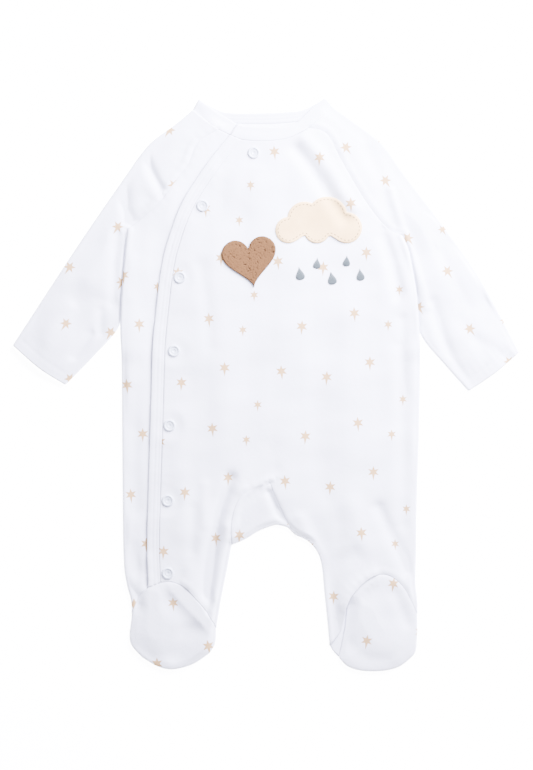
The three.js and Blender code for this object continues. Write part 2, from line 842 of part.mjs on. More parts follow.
// The wrap panel: chest and belly on both sides of the middle, then the two legs
function frontOver() {
  const chestLeft = straight(placketRows[CHEST_ROWS], chestMiddle, LEFT_COLUMNS);
  const chestRight = straight(chestMiddle, armpitRight, RIGHT_COLUMNS);
  const hipRight = atHeight(sideRight, APEX.y);
  const hipLeftRow = straight(placketRows[HIP_ROW], APEX, LEFT_COLUMNS);
  const hipRightRow = straight(APEX, hipRight, RIGHT_COLUMNS);
  const upperMiddle = straight(seam.bandOverRight[0], chestMiddle, CHEST_ROWS);
  const lowerMiddle = straight(chestMiddle, APEX, BELLY_ROWS);
  const chestA = patch({
    left: placketRows.slice(0, CHEST_ROWS + 1),
    right: upperMiddle,
    top: seam.bandOverLeft,
    bottom: chestLeft,
  });
  const chestB = patch({
    left: upperMiddle,
    right: seam.raglanRight,
    top: seam.bandOverRight,
    bottom: chestRight,
  });
  const bellyA = patch({
    left: placketRows.slice(CHEST_ROWS, HIP_ROW + 1),
    right: lowerMiddle,
    top: chestLeft,
    bottom: hipLeftRow,
  });
  const bellyB = patch({
    left: lowerMiddle,
    right: stretch(sideRight, armpitRight.y, APEX.y, BELLY_ROWS),
    top: chestRight,
    bottom: hipRightRow,
  });
  const legA = patch({
    left: placketRows.slice(HIP_ROW),
    right: chain(seam.arch, divide(curves.insideLegLeft, LEG_ROWS - ARCH_ROWS)),
    top: hipLeftRow,
    bottom: seam.vampLeftInner,
  });
  const legB = patch({
    left: chain(seam.fold, divide(curves.insideLegRight, LEG_ROWS - ARCH_ROWS)),
    right: stretch(sideRight, APEX.y, footY, LEG_ROWS),
    top: hipRightRow,
    bottom: chain(seam.soleRight, seam.vampRight),
  });
  const towardsLeg = (t) => smooth(2 * t);
  return sheetOf([
    gatherRight(chestA, ROLL_STEPS, even),
    gatherRight(bellyA, ROLL_STEPS, even),
    gatherRight(legA, ROLL_STEPS, towardsLeg),
    gatherLeft(gatherRight(chestB, ROLL_STEPS, smooth), ROLL_STEPS, even),
    gatherLeft(gatherRight(bellyB, ROLL_STEPS), ROLL_STEPS, even),
    gatherLeft(gatherRight(legB, ROLL_STEPS, towardsSeam), ROLL_STEPS, towardsLeg),
  ]);
}

// The viewer's left strip: the part that shows, and the part that hides under the wrap
function frontUnder() {
  const wrapTop = seam.bandLeftHidden[0];
  const neckEnd = seam.bandLeftHidden[UNDER_HIDDEN];
  const wrapFoot = seam.vampLeftOuter[UNDER_SHOWN];
  const hiddenFoot = new THREE.Vector2(wrapFoot.x + UNDERLAP, wrapFoot.y + 2);
  const wrap = [wrapTop, ...wrapLine.filter((p) => p.y < wrapTop.y - 1 && p.y > wrapFoot.y + 1), wrapFoot];
  const offset = beside(wrapLine, -UNDERLAP);
  const inBetween = offset.filter((p) => p.y < neckEnd.y - 8 && p.y > hiddenFoot.y + 1);
  const hidden = [neckEnd, ...inBetween, hiddenFoot];
  const heights = [
    { from: 0, to: chestMiddle.y, rows: CHEST_ROWS, side: seam.raglanLeft, share: smooth },
    { from: chestMiddle.y, to: APEX.y, rows: BELLY_ROWS },
    { from: APEX.y, to: 0, rows: LEG_ROWS, share: towardsSeam },
  ];
  const grids = [];
  let tops = [seam.bandLeftPanel, seam.bandLeftHidden];
  for (const { from, to, rows, side, share } of heights) {
    const cut = (line) => stretch(line, from || line[0].y, to || line[line.length - 1].y, rows);
    const outer = side ?? stretch(sideLeft, from, to || footY, rows);
    const middle = cut(wrap);
    const inner = cut(hidden);
    const shownHem = to ? straight(outer[rows], middle[rows], UNDER_SHOWN) : seam.vampLeftOuter;
    const hiddenHem = straight(middle[rows], inner[rows], UNDER_HIDDEN);
    const shown = patch({ left: outer, right: middle, top: tops[0], bottom: shownHem });
    grids.push(gatherLeft(shown, ROLL_STEPS, share));
    grids.push(patch({ left: middle, right: inner, top: tops[1], bottom: hiddenHem }));
    tops = [shownHem, hiddenHem];
  }
  return sheetOf(grids);
}

function placketBand() {
  const outer = beside(placketRows, PLACKET_WIDTH);
  outer[0] = curves.bandOverPlacket.getPoint(0);
  outer[outer.length - 1] = seam.vampLeftPlacket[0];
  return sheetOf([outer.map((p, k) => [p, between(p, placketRows[k], 0.5), placketRows[k]])]);
}

// The back: one panel down to the ankles, flat but for its side edges
function back() {
  const neck = divide(curves.bandBackSeam, NECK_CELLS * 2 + 2 * BACK_COLUMNS);
  const ankleLeft = atHeight(sideLeft, ANKLE);
  const ankleRight = atHeight(sideRight, ANKLE);
  const hipLeft = atHeight(sideLeft, BACK_APEX.y);
  const hipRight = atHeight(sideRight, BACK_APEX.y);
  const legLeft = [...curves.insideLegLeft.getSpacedPoints(FINE)];
  const legRight = [...curves.insideLegRight.getSpacedPoints(FINE)];
  const topLeft = neck.slice(NECK_CELLS, NECK_CELLS + BACK_COLUMNS + 1);
  const topRight = neck.slice(NECK_CELLS + BACK_COLUMNS, NECK_CELLS + 2 * BACK_COLUMNS + 1);
  topLeft[0] = seam.raglanLeft[0];
  topRight[BACK_COLUMNS] = seam.raglanRight[0];
  const neckMiddle = topRight[0];
  const rowOf = (a, b) => straight(a, b, BACK_COLUMNS);
  const upper = straight(neckMiddle, chestMiddle, CHEST_ROWS);
  const lower = straight(chestMiddle, BACK_APEX, BELLY_ROWS);
  const legRows = LEG_ROWS - 3;
  const lowerLeft = stretch(legLeft, legLeft[0].y, ANKLE, legRows - 3);
  const lowerRight = stretch(legRight, legRight[0].y, ANKLE, legRows - 2);
  const insideLeft = chain(divide(curves.crotchLeft, 3), lowerLeft);
  const insideRight = chain(divide(curves.crotchRight, 2), lowerRight);
  const middleLeft = insideLeft[legRows];
  const middleRight = insideRight[legRows];
  const chestA = patch({
    left: seam.raglanLeft,
    right: upper,
    top: topLeft,
    bottom: rowOf(armpitLeft, chestMiddle),
  });
  const chestB = patch({
    left: upper,
    right: seam.raglanRight,
    top: topRight,
    bottom: rowOf(chestMiddle, armpitRight),
  });
  const bellyA = patch({
    left: stretch(sideLeft, armpitLeft.y, BACK_APEX.y, BELLY_ROWS),
    right: lower,
    top: rowOf(armpitLeft, chestMiddle),
    bottom: rowOf(hipLeft, BACK_APEX),
  });
  const bellyB = patch({
    left: lower,
    right: stretch(sideRight, armpitRight.y, BACK_APEX.y, BELLY_ROWS),
    top: rowOf(chestMiddle, armpitRight),
    bottom: rowOf(BACK_APEX, hipRight),
  });
  const legA = patch({
    left: stretch(sideLeft, BACK_APEX.y, ANKLE, legRows),
    right: insideLeft,
    top: rowOf(hipLeft, BACK_APEX),
    bottom: rowOf(ankleLeft, middleLeft),
  });
  const legB = patch({
    left: insideRight,
    right: stretch(sideRight, BACK_APEX.y, ANKLE, legRows),
    top: rowOf(BACK_APEX, hipRight),
    bottom: rowOf(middleRight, ankleRight),
  });
  return sheetOf([
    gatherLeft(chestA, TUCK_STEPS, smooth),
    gatherLeft(bellyA, TUCK_STEPS),
    gatherLeft(legA, TUCK_STEPS),
    gatherRight(chestB, TUCK_STEPS, smooth),
    gatherRight(bellyB, TUCK_STEPS),
    gatherRight(legB, TUCK_STEPS),
  ]);
}

// A raglan sleeve from the neckband to the cuff; its inner side is the raglan seam, then the underarm fold
function sleeve({ neck, outer, raglan, inner, cuff }) {
  const rows = CHEST_ROWS + SLEEVE_ROWS;
  const grid = patch({
    left: divide(curves[outer], rows),
    right: chain(raglan, divide(curves[inner], SLEEVE_ROWS)),
    top: neck,
    bottom: cuff,
  });
  const belowArmpit = (t) => smooth((t * rows) / CHEST_ROWS);
  return gatherRight(gatherLeft(grid, ROLL_STEPS), SLEEVE_STEPS, belowArmpit);
}

// Points of a curve at the same shares of its length as the points of a line
function facing(line, curve) {
  const lengths = [0];
  for (let k = 1; k < line.length; k++) lengths.push(lengths[k - 1] + line[k].distanceTo(line[k - 1]));
  return lengths.map((length) => curve.getPointAt(Math.min(1, length / lengths[lengths.length - 1])));
}

// A neckband between the seam it is sewn along and its outer edge
function neckband(seamLine, edgeCurve) {
  const edge = facing(seamLine, edgeCurve);
  return sheetOf([[edge, edge.map((p, k) => between(p, seamLine[k], 0.5)), seamLine]]);
}

// A line of points cut again into cells of equal length
function recut(line, cells) {
  const path = new THREE.CurvePath();
  for (let k = 1; k < line.length; k++) path.add(new THREE.LineCurve(line[k - 1], line[k]));
  return divide(path, cells);
}

function gusset() {
  const tip = 0.05;
  const arch = [curves.gussetArch.getPointAt(tip), ...seam.arch.slice(1)].reverse();
  const fold = [curves.gussetFold.getPointAt(tip), ...seam.fold.slice(1)].reverse();
  const crotch = chain(divide(curves.crotchLeft, 4).reverse(), divide(curves.crotchRight, 2));
  const grid = patch({
    left: crotch,
    right: straight(arch[ARCH_ROWS], fold[ARCH_ROWS], crotch.length - 1),
    top: arch,
    bottom: fold,
  });
  return sheetOf([gatherLeft(grid, ROLL_STEPS)]);
}

function sole({ left, right, toes }) {
  const leftLine = recut(left, SOLE_CELLS);
  const rightLine = recut(right, SOLE_CELLS);
  return sheetOf([
    patch({
      left: leftLine,
      right: rightLine,
      top: straight(leftLine[0], rightLine[0], SOLE_CELLS),
      bottom: divide(curves[toes], SOLE_CELLS),
    }),
  ]);
}

const belowAnkle = (line) => [atHeight(line, ANKLE), ...line.filter((p) => p.y < ANKLE - 1)];

// A patch cut to a closed outline: rings of cells around its centre, at shares of the way to the outline
function fan(centre, outline, rings) {
  const count = outline.length;
  const points = [centre, ...rings.flatMap((share) => outline.map((p) => between(centre, p, share(p))))];
  const faces = [];
  for (let k = 0; k < count; k++) {
    const next = (k + 1) % count;
    faces.push([0, 1 + k, 1 + next]);
    for (let ring = 1; ring < rings.length; ring++) {
      const inner = 1 + (ring - 1) * count;
      const outer = 1 + ring * count;
      faces.push([inner + k, outer + k, outer + next, inner + next]);
    }
  }
  return { points, faces };
}

function outlineOf(centre, cells, place) {
  const middle = new THREE.Vector2(centre.x, centre.y);
  const points = Array.from({ length: cells }, (_, k) => place((k / cells) * 2 * Math.PI).add(middle));
  return fan(middle, points, [() => 0.45, () => 0.8, () => 1]);
}

// The top of a foot: rings of cells around its middle that gather at its edge
function vamp({ top, left, right, toes, centre }) {
  const outline = [
    ...divide(curves[left], FOOT_ROWS),
    ...divide(curves[toes], TOE_CELLS).slice(1),
    ...divide(curves[right], FOOT_ROWS).reverse().slice(1),
    ...[...top].reverse().slice(1, -1),
  ];
  const middle = new THREE.Vector2(centre.x, centre.y);
  const fromEdge = (step) => (p) => 1 - step / p.distanceTo(middle);
  const gathered = [...ROLL_STEPS].reverse().map(fromEdge);
  return fan(middle, outline, [() => 0.4, () => 0.75, ...gathered, () => 1]);
}

// The cloud's edge in each direction is the furthest that any puff reaches
function cloud() {
  return outlineOf(CLOUD_CENTRE, OUTLINE_CELLS, (angle) => {
    const way = new THREE.Vector2(Math.cos(angle), Math.sin(angle));
    const reach = CLOUD_PUFFS.map(({ x, y, radius }) => {
      const along = x * way.x + y * way.y;
      const across = x * way.y - y * way.x;
      return Math.abs(across) < radius ? along + Math.sqrt(radius * radius - across * across) : 0;
    });
    return way.multiplyScalar(Math.max(...reach));
  });
}

// The classic heart curve, in sixteenths of its half width
function heart() {
  const scale = HEART.halfWidth / 16;
  const tilt = THREE.MathUtils.degToRad(HEART.tilt);
  return outlineOf(HEART, OUTLINE_CELLS, (t) => {
    const x = -16 * Math.sin(t) ** 3;
    const y = 13 * Math.cos(t) - 5 * Math.cos(2 * t) - 2 * Math.cos(3 * t) - Math.cos(4 * t);
    return new THREE.Vector2(x, y).multiplyScalar(scale).rotateAround(new THREE.Vector2(), tilt);
  });
}

// A drop with its point up
function drop({ x, y, tilt, length }) {
  return outlineOf({ x, y }, DROP_CELLS, (t) => {
    const wide = -0.52 * Math.sin(t) * Math.sin(t / 2) ** 2;
    const point = new THREE.Vector2(wide, 0.5 * Math.cos(t)).multiplyScalar(length);
    return point.rotateAround(new THREE.Vector2(), THREE.MathUtils.degToRad(tilt));
  });
}

// A patch that lies on the over panel, made from the panel's own heights and moved out
function onPanel(sheet, thickness) {
  const rise = CLOTH / 2 + PATCH_LIFT + thickness / 2;
  return wall(insetRim(sheet, []), (x, y) => overLevel(x, y) + rise, thickness);
}

// A ring snap's cap: a rounded rim around a low middle
function snapCap() {
  const r = SNAP_DIAMETER / 2;
  const h = SNAP_HEIGHT;
  const profile = [
    { r: 0, h: 0 },
    { r: r, h: 0 },
    { r: r, h: 0.5 * h },
    { r: 0.9 * r, h: 0.9 * h },
    { r: 0.74 * r, h: h },
    { r: 0.6 * r, h: 0.5 * h },
    { r: 0, h: 0.45 * h },
  ];
  const cap = new THREE.LatheGeometry(profile.map((p) => new THREE.Vector2(p.r, p.h)), SNAP_CELLS);
  return cap.rotateX(Math.PI / 2);
}

const leftSleeve = sleeve({
  neck: seam.bandLeftSleeve,
  outer: "sleeveLeftOuter",
  raglan: seam.raglanLeft,
  inner: "sleeveLeftInner",
  cuff: divide(curves.cuffLeft, NECK_CELLS),
});
const rightSleeve = sleeve({
  neck: [...seam.bandRightSleeve].reverse(),
  outer: "sleeveRightOuter",
  raglan: seam.raglanRight,
  inner: "sleeveRightInner",
  cuff: divide(curves.cuffRight, NECK_CELLS),
});

const leftBandLine = chain(seam.bandLeftSleeve, seam.bandLeftPanel, seam.bandLeftHidden);
const overBandLine = chain(
  divide(curves.bandOverPlacket, 1),
  seam.bandOverLeft,
  seam.bandOverRight,
  seam.bandRightSleeve,
);
const legInsideLeft = divide(curves.insideLegLeft, FINE);
const legInsideRight = divide(curves.insideLegRight, FINE);

addPiece("back", flatWall(back(), backLevel), "cloth");
const leftSole = sole({
  left: chain(belowAnkle(sideLeft), fine("footLeftOuter")),
  right: chain(belowAnkle(legInsideLeft), fine("footLeftInner")),
  toes: "toesLeft",
});
const rightSole = sole({
  left: chain(belowAnkle(legInsideRight), fine("heelRight")),
  right: chain(belowAnkle(sideRight), fine("footRightOuter")),
  toes: "toesRight",
});
addPiece("sole_left", flatWall(leftSole, flatLevel), "cloth");
addPiece("sole_right", flatWall(rightSole, flatLevel), "cloth");
addPiece("sleeve_left", sleeveWall(leftSleeve), "cloth");
addPiece("sleeve_right", sleeveWall(rightSleeve, true), "cloth");
addPiece("front_under", frontWall(frontUnder(), underLevel), "cloth");
addPiece("front_over", frontWall(frontOver(), overLevel), "cloth");
addPiece("crotch_gusset", frontWall(gusset(), overLevel), "cloth");
addPiece("placket_band", wall(insetRim(placketBand(), []), bandLevel, BAND_CLOTH), "band");
const leftVamp = vamp({
  top: chain(seam.vampLeftOuter, seam.vampLeftPlacket, seam.vampLeftInner),
  left: "footLeftOuter",
  right: "footLeftInner",
  toes: "toesLeft",
  centre: { x: -82, y: 40 },
});
const rightVamp = vamp({
  top: seam.vampRight,
  left: "vampSideRight",
  right: "footRightOuter",
  toes: "toesRight",
  centre: { x: 99, y: 40 },
});
addPiece("vamp_left", frontWall(leftVamp, vampLevel), "cloth");
addPiece("vamp_right", frontWall(rightVamp, vampLevel), "cloth");
const backBandLine = divide(curves.bandBackSeam, 2 * BACK_COLUMNS + 2 * NECK_CELLS);
addPiece("neckband_back", flatWall(neckband(backBandLine, curves.bandBackEdge), flatLevel), "band");
addPiece("neckband_left", flatWall(neckband(leftBandLine, curves.bandLeftEdge), underLevel), "band");
addPiece(
  "neckband_over",
  wall(insetRim(neckband(overBandLine, curves.bandOverEdge), []), bandLevel, BAND_CLOTH),
  "band",
);

SNAPS.forEach(({ x, y }, k) => {
  const snap = addPiece(`snap_${k + 1}`, snapCap(), "snap");
  snap.position.set(x, y, overLevel(x, y) + CLOTH / 2 + SEAM_GAP);
});

addPiece("applique_cloud", onPanel(cloud(), CLOUD_THICKNESS), "cream");
addPiece("applique_heart", onPanel(heart(), TERRY_THICKNESS), "terry");
DROPS.forEach((row, k) => {
  addPiece(`embroidered_drop_${k + 1}`, onPanel(drop(row), DROP_THICKNESS), "thread");
});

export default suit;
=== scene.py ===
"""A footed baby sleepsuit laid flat on its back.

Sizes and tables are in millimetres, x to the viewer's right and y up from the toes to the neck.
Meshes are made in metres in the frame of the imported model. Left and right are the viewer's.
"""
import math
import bpy
import numpy as np
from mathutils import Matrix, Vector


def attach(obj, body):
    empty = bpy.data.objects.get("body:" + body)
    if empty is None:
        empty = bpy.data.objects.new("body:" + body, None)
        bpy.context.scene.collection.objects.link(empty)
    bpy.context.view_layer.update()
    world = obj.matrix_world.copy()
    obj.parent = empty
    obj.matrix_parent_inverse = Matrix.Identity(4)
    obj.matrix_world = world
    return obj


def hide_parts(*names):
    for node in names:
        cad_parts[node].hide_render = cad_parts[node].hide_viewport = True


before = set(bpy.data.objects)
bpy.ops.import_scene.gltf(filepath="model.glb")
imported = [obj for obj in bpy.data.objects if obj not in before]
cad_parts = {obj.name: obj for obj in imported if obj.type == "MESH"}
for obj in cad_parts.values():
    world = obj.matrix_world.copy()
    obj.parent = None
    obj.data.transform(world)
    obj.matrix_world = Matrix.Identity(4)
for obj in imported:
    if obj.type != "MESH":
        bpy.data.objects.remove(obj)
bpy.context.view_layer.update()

# Sizes
LENGTH = 504
CUFF_MIDDLE = 0.25
CLOTH = 1.2
SEAM_GAP = 0.3
SEAM_INSET = 0.05
PLACKET_WIDTH = 10.5
UNDERLAP = 28
SNAP_RADIUS = 5.25
EDGE_ROLL = 1.5
PUFF = 1.5
PUFF_REACH = 26
ANKLE = 62
TROUGH_DEPTH = 1.45
WRAP_TROUGH_DEPTH = 0.5
WRAP_PUFF = 0.5
EDGE_FADE = 4
CUFF_HEM = 9
SLACK = 0.75
CREASE_DEPTH = 1.65
LIFT_REACH = 28

# Heights of the middle of each layer
LAYER_STEP = CLOTH + SEAM_GAP
BACK_MID = CLOTH / 2
UNDER_MID = BACK_MID + LAYER_STEP
OVER_MID = UNDER_MID + LAYER_STEP
RIM_LEVEL = CLOTH + SEAM_GAP
TUCK_LIFT = 2 * LAYER_STEP
SNAP_LEVEL = OVER_MID + 0.7

# Cell size of the cloth grids, and distances of the grid lines that follow an edge that turns over
CELL = 1.8
SLEEVE_CELL = 1.3
BACK_CELL = 3
EDGE_LINES = [1.1, 1.8, 2.8, 4.2]

# Side edges of the body: y, then x of the left and of the right side
BODY_SIDES = [
    (388, -122, 118), (372, -123.5, 125), (355, -125, 129), (330, -127, 133), (300, -128, 135),
    (275, -127, 136), (212, -126.5, 135), (150, -126, 133), (112, -125.5, 132.5),
    (90, -124.5, 132), (75, -122, 132), (62, -118.5, 133.5), (50, -118, 133.5),
]
# Seams and edges that curve: (x, y) of the points each one passes through
SEAMS = {
    "raglan_left": [(-41.5, 477), (-60, 464.5), (-69, 445), (-84, 425), (-99.5, 406), (-122, 388)],
    "raglan_right": [
        (38, 478), (50.5, 475), (58, 467), (66, 450.5), (87, 414.5), (106.5, 390), (120, 383),
    ],
    "placket_seam": [
        (-21.5, 468), (-43.5, 440), (-64, 408), (-76, 376), (-82, 350), (-86.5, 312), (-89, 283),
        (-90.5, 231), (-93, 149), (-93.8, 109), (-92.6, 78.3),
    ],
    "crotch_left": [(9, 129), (-5, 124), (-17.5, 116.5), (-30, 111)],
    "crotch_right": [(9, 129), (19, 126.5), (26.5, 119.5)],
    "gusset_arch": [
        (4, 165.5), (-10, 161.5), (-20, 156), (-26, 147.5), (-30, 134), (-31, 121.5), (-30, 111),
    ],
    "gusset_fold": [(4, 165.5), (8, 155), (17, 135), (26.5, 119.5)],
    "inside_leg_left": [(-30, 111), (-33.5, 92), (-38.5, 67), (-43.5, 37.5)],
    "inside_leg_right": [(26.5, 119.5), (39, 113), (48, 98), (51.5, 68.5), (54, 44), (56, 23)],
    "vamp_left_outer": [(-118, 50), (-112, 65), (-103, 74)],
    "vamp_left_placket": [(-103, 74), (-98, 76.5), (-92.6, 78.3)],
    "vamp_left_inner": [
        (-92.6, 78.3), (-86, 79), (-79, 77.5), (-70.5, 73.5), (-62, 64), (-52, 52), (-43.5, 37.5),
    ],
    "vamp_arc_right": [
        (71, 57), (75, 66), (83.5, 75.5), (92.5, 82.5), (102, 85.5), (111, 83), (118.5, 77),
        (124.5, 68.5), (133.5, 50),
    ],
    "sole_seam_right": [(56, 23), (66, 36), (71, 57)],
    "vamp_side_right": [(71, 57), (69, 37.5), (64, 12.5)],
    "foot_left_outer": [(-118, 50), (-119.5, 26.5), (-109, 12.5)],
    "toes_left": [(-109, 12.5), (-96.5, 5), (-85.5, 1.8), (-74, 3), (-62, 7.5), (-49.5, 16)],
    "foot_left_inner": [(-43.5, 37.5), (-44.5, 24.5), (-49.5, 16)],
    "heel_right": [(56, 23), (58.5, 18), (64, 12.5)],
    "toes_right": [(64, 12.5), (71, 5), (81.5, 1), (95, 0), (108, 1.2), (118.5, 4.8), (127, 11.5)],
    "foot_right_outer": [(133.5, 50), (133.5, 34), (132, 18), (127, 11.5)],
    "sleeve_left_outer": [
        (-64, 494), (-80, 480.5), (-103, 463), (-126.5, 431), (-167, 372), (-222.5, 287),
    ],
    "cuff_left": [(-222.5, 287), (-199, 266.5), (-176, 252)],
    "sleeve_left_inner": [
        (-122, 388), (-120.5, 360), (-122.5, 326.5), (-130, 301.5), (-152, 276.5), (-176, 252),
    ],
    "sleeve_right_outer": [
        (58, 498.5), (64, 493.5), (96.5, 470), (107.5, 458.5), (122, 438), (183.5, 354),
        (223, 281),
    ],
    "cuff_right": [(223, 281), (201.5, 262.5), (178, 246.5)],
    "sleeve_right_inner": [
        (120, 383), (124.5, 360), (128.5, 326.5), (136, 296), (157.5, 269.5), (178, 246.5),
    ],
    "band_left_sleeve": [(-64, 494), (-50, 482.5), (-41.5, 477)],
    "band_left_panel": [(-41.5, 477), (-31, 472)],
    "band_left_hidden": [(-31, 472), (-18.5, 465.5)],
    "band_left_edge": [(-59, 503), (-46.5, 493.7), (-35, 486.7), (-25.5, 481), (-14, 475)],
    "band_over_placket": [(-31, 472), (-21.5, 468)],
    "band_over_left": [(-21.5, 468), (-10, 466.8), (4, 466.7)],
    "band_over_right": [(4, 466.7), (19.5, 469), (30, 473.3), (38, 478)],
    "band_right_sleeve": [(38, 478), (48.5, 488), (58, 498.5)],
    "band_over_edge": [
        (-25.5, 481), (-17.5, 479), (0, 478.4), (17, 478.8), (26.5, 481.8), (33.5, 487.5),
        (42, 496), (52, 504),
    ],
    "band_back_edge": [
        (-59, 503), (-42, 493.7), (-30, 491), (0, 491), (18.5, 492), (31.5, 493.3), (43.5, 498.7),
        (52, 504),
    ],
    "band_back_seam": [
        (-64, 494), (-45, 485), (-31.5, 482.2), (0, 481.8), (18.5, 482.8), (30, 484.4), (43, 490),
        (58, 498.5),
    ],
}
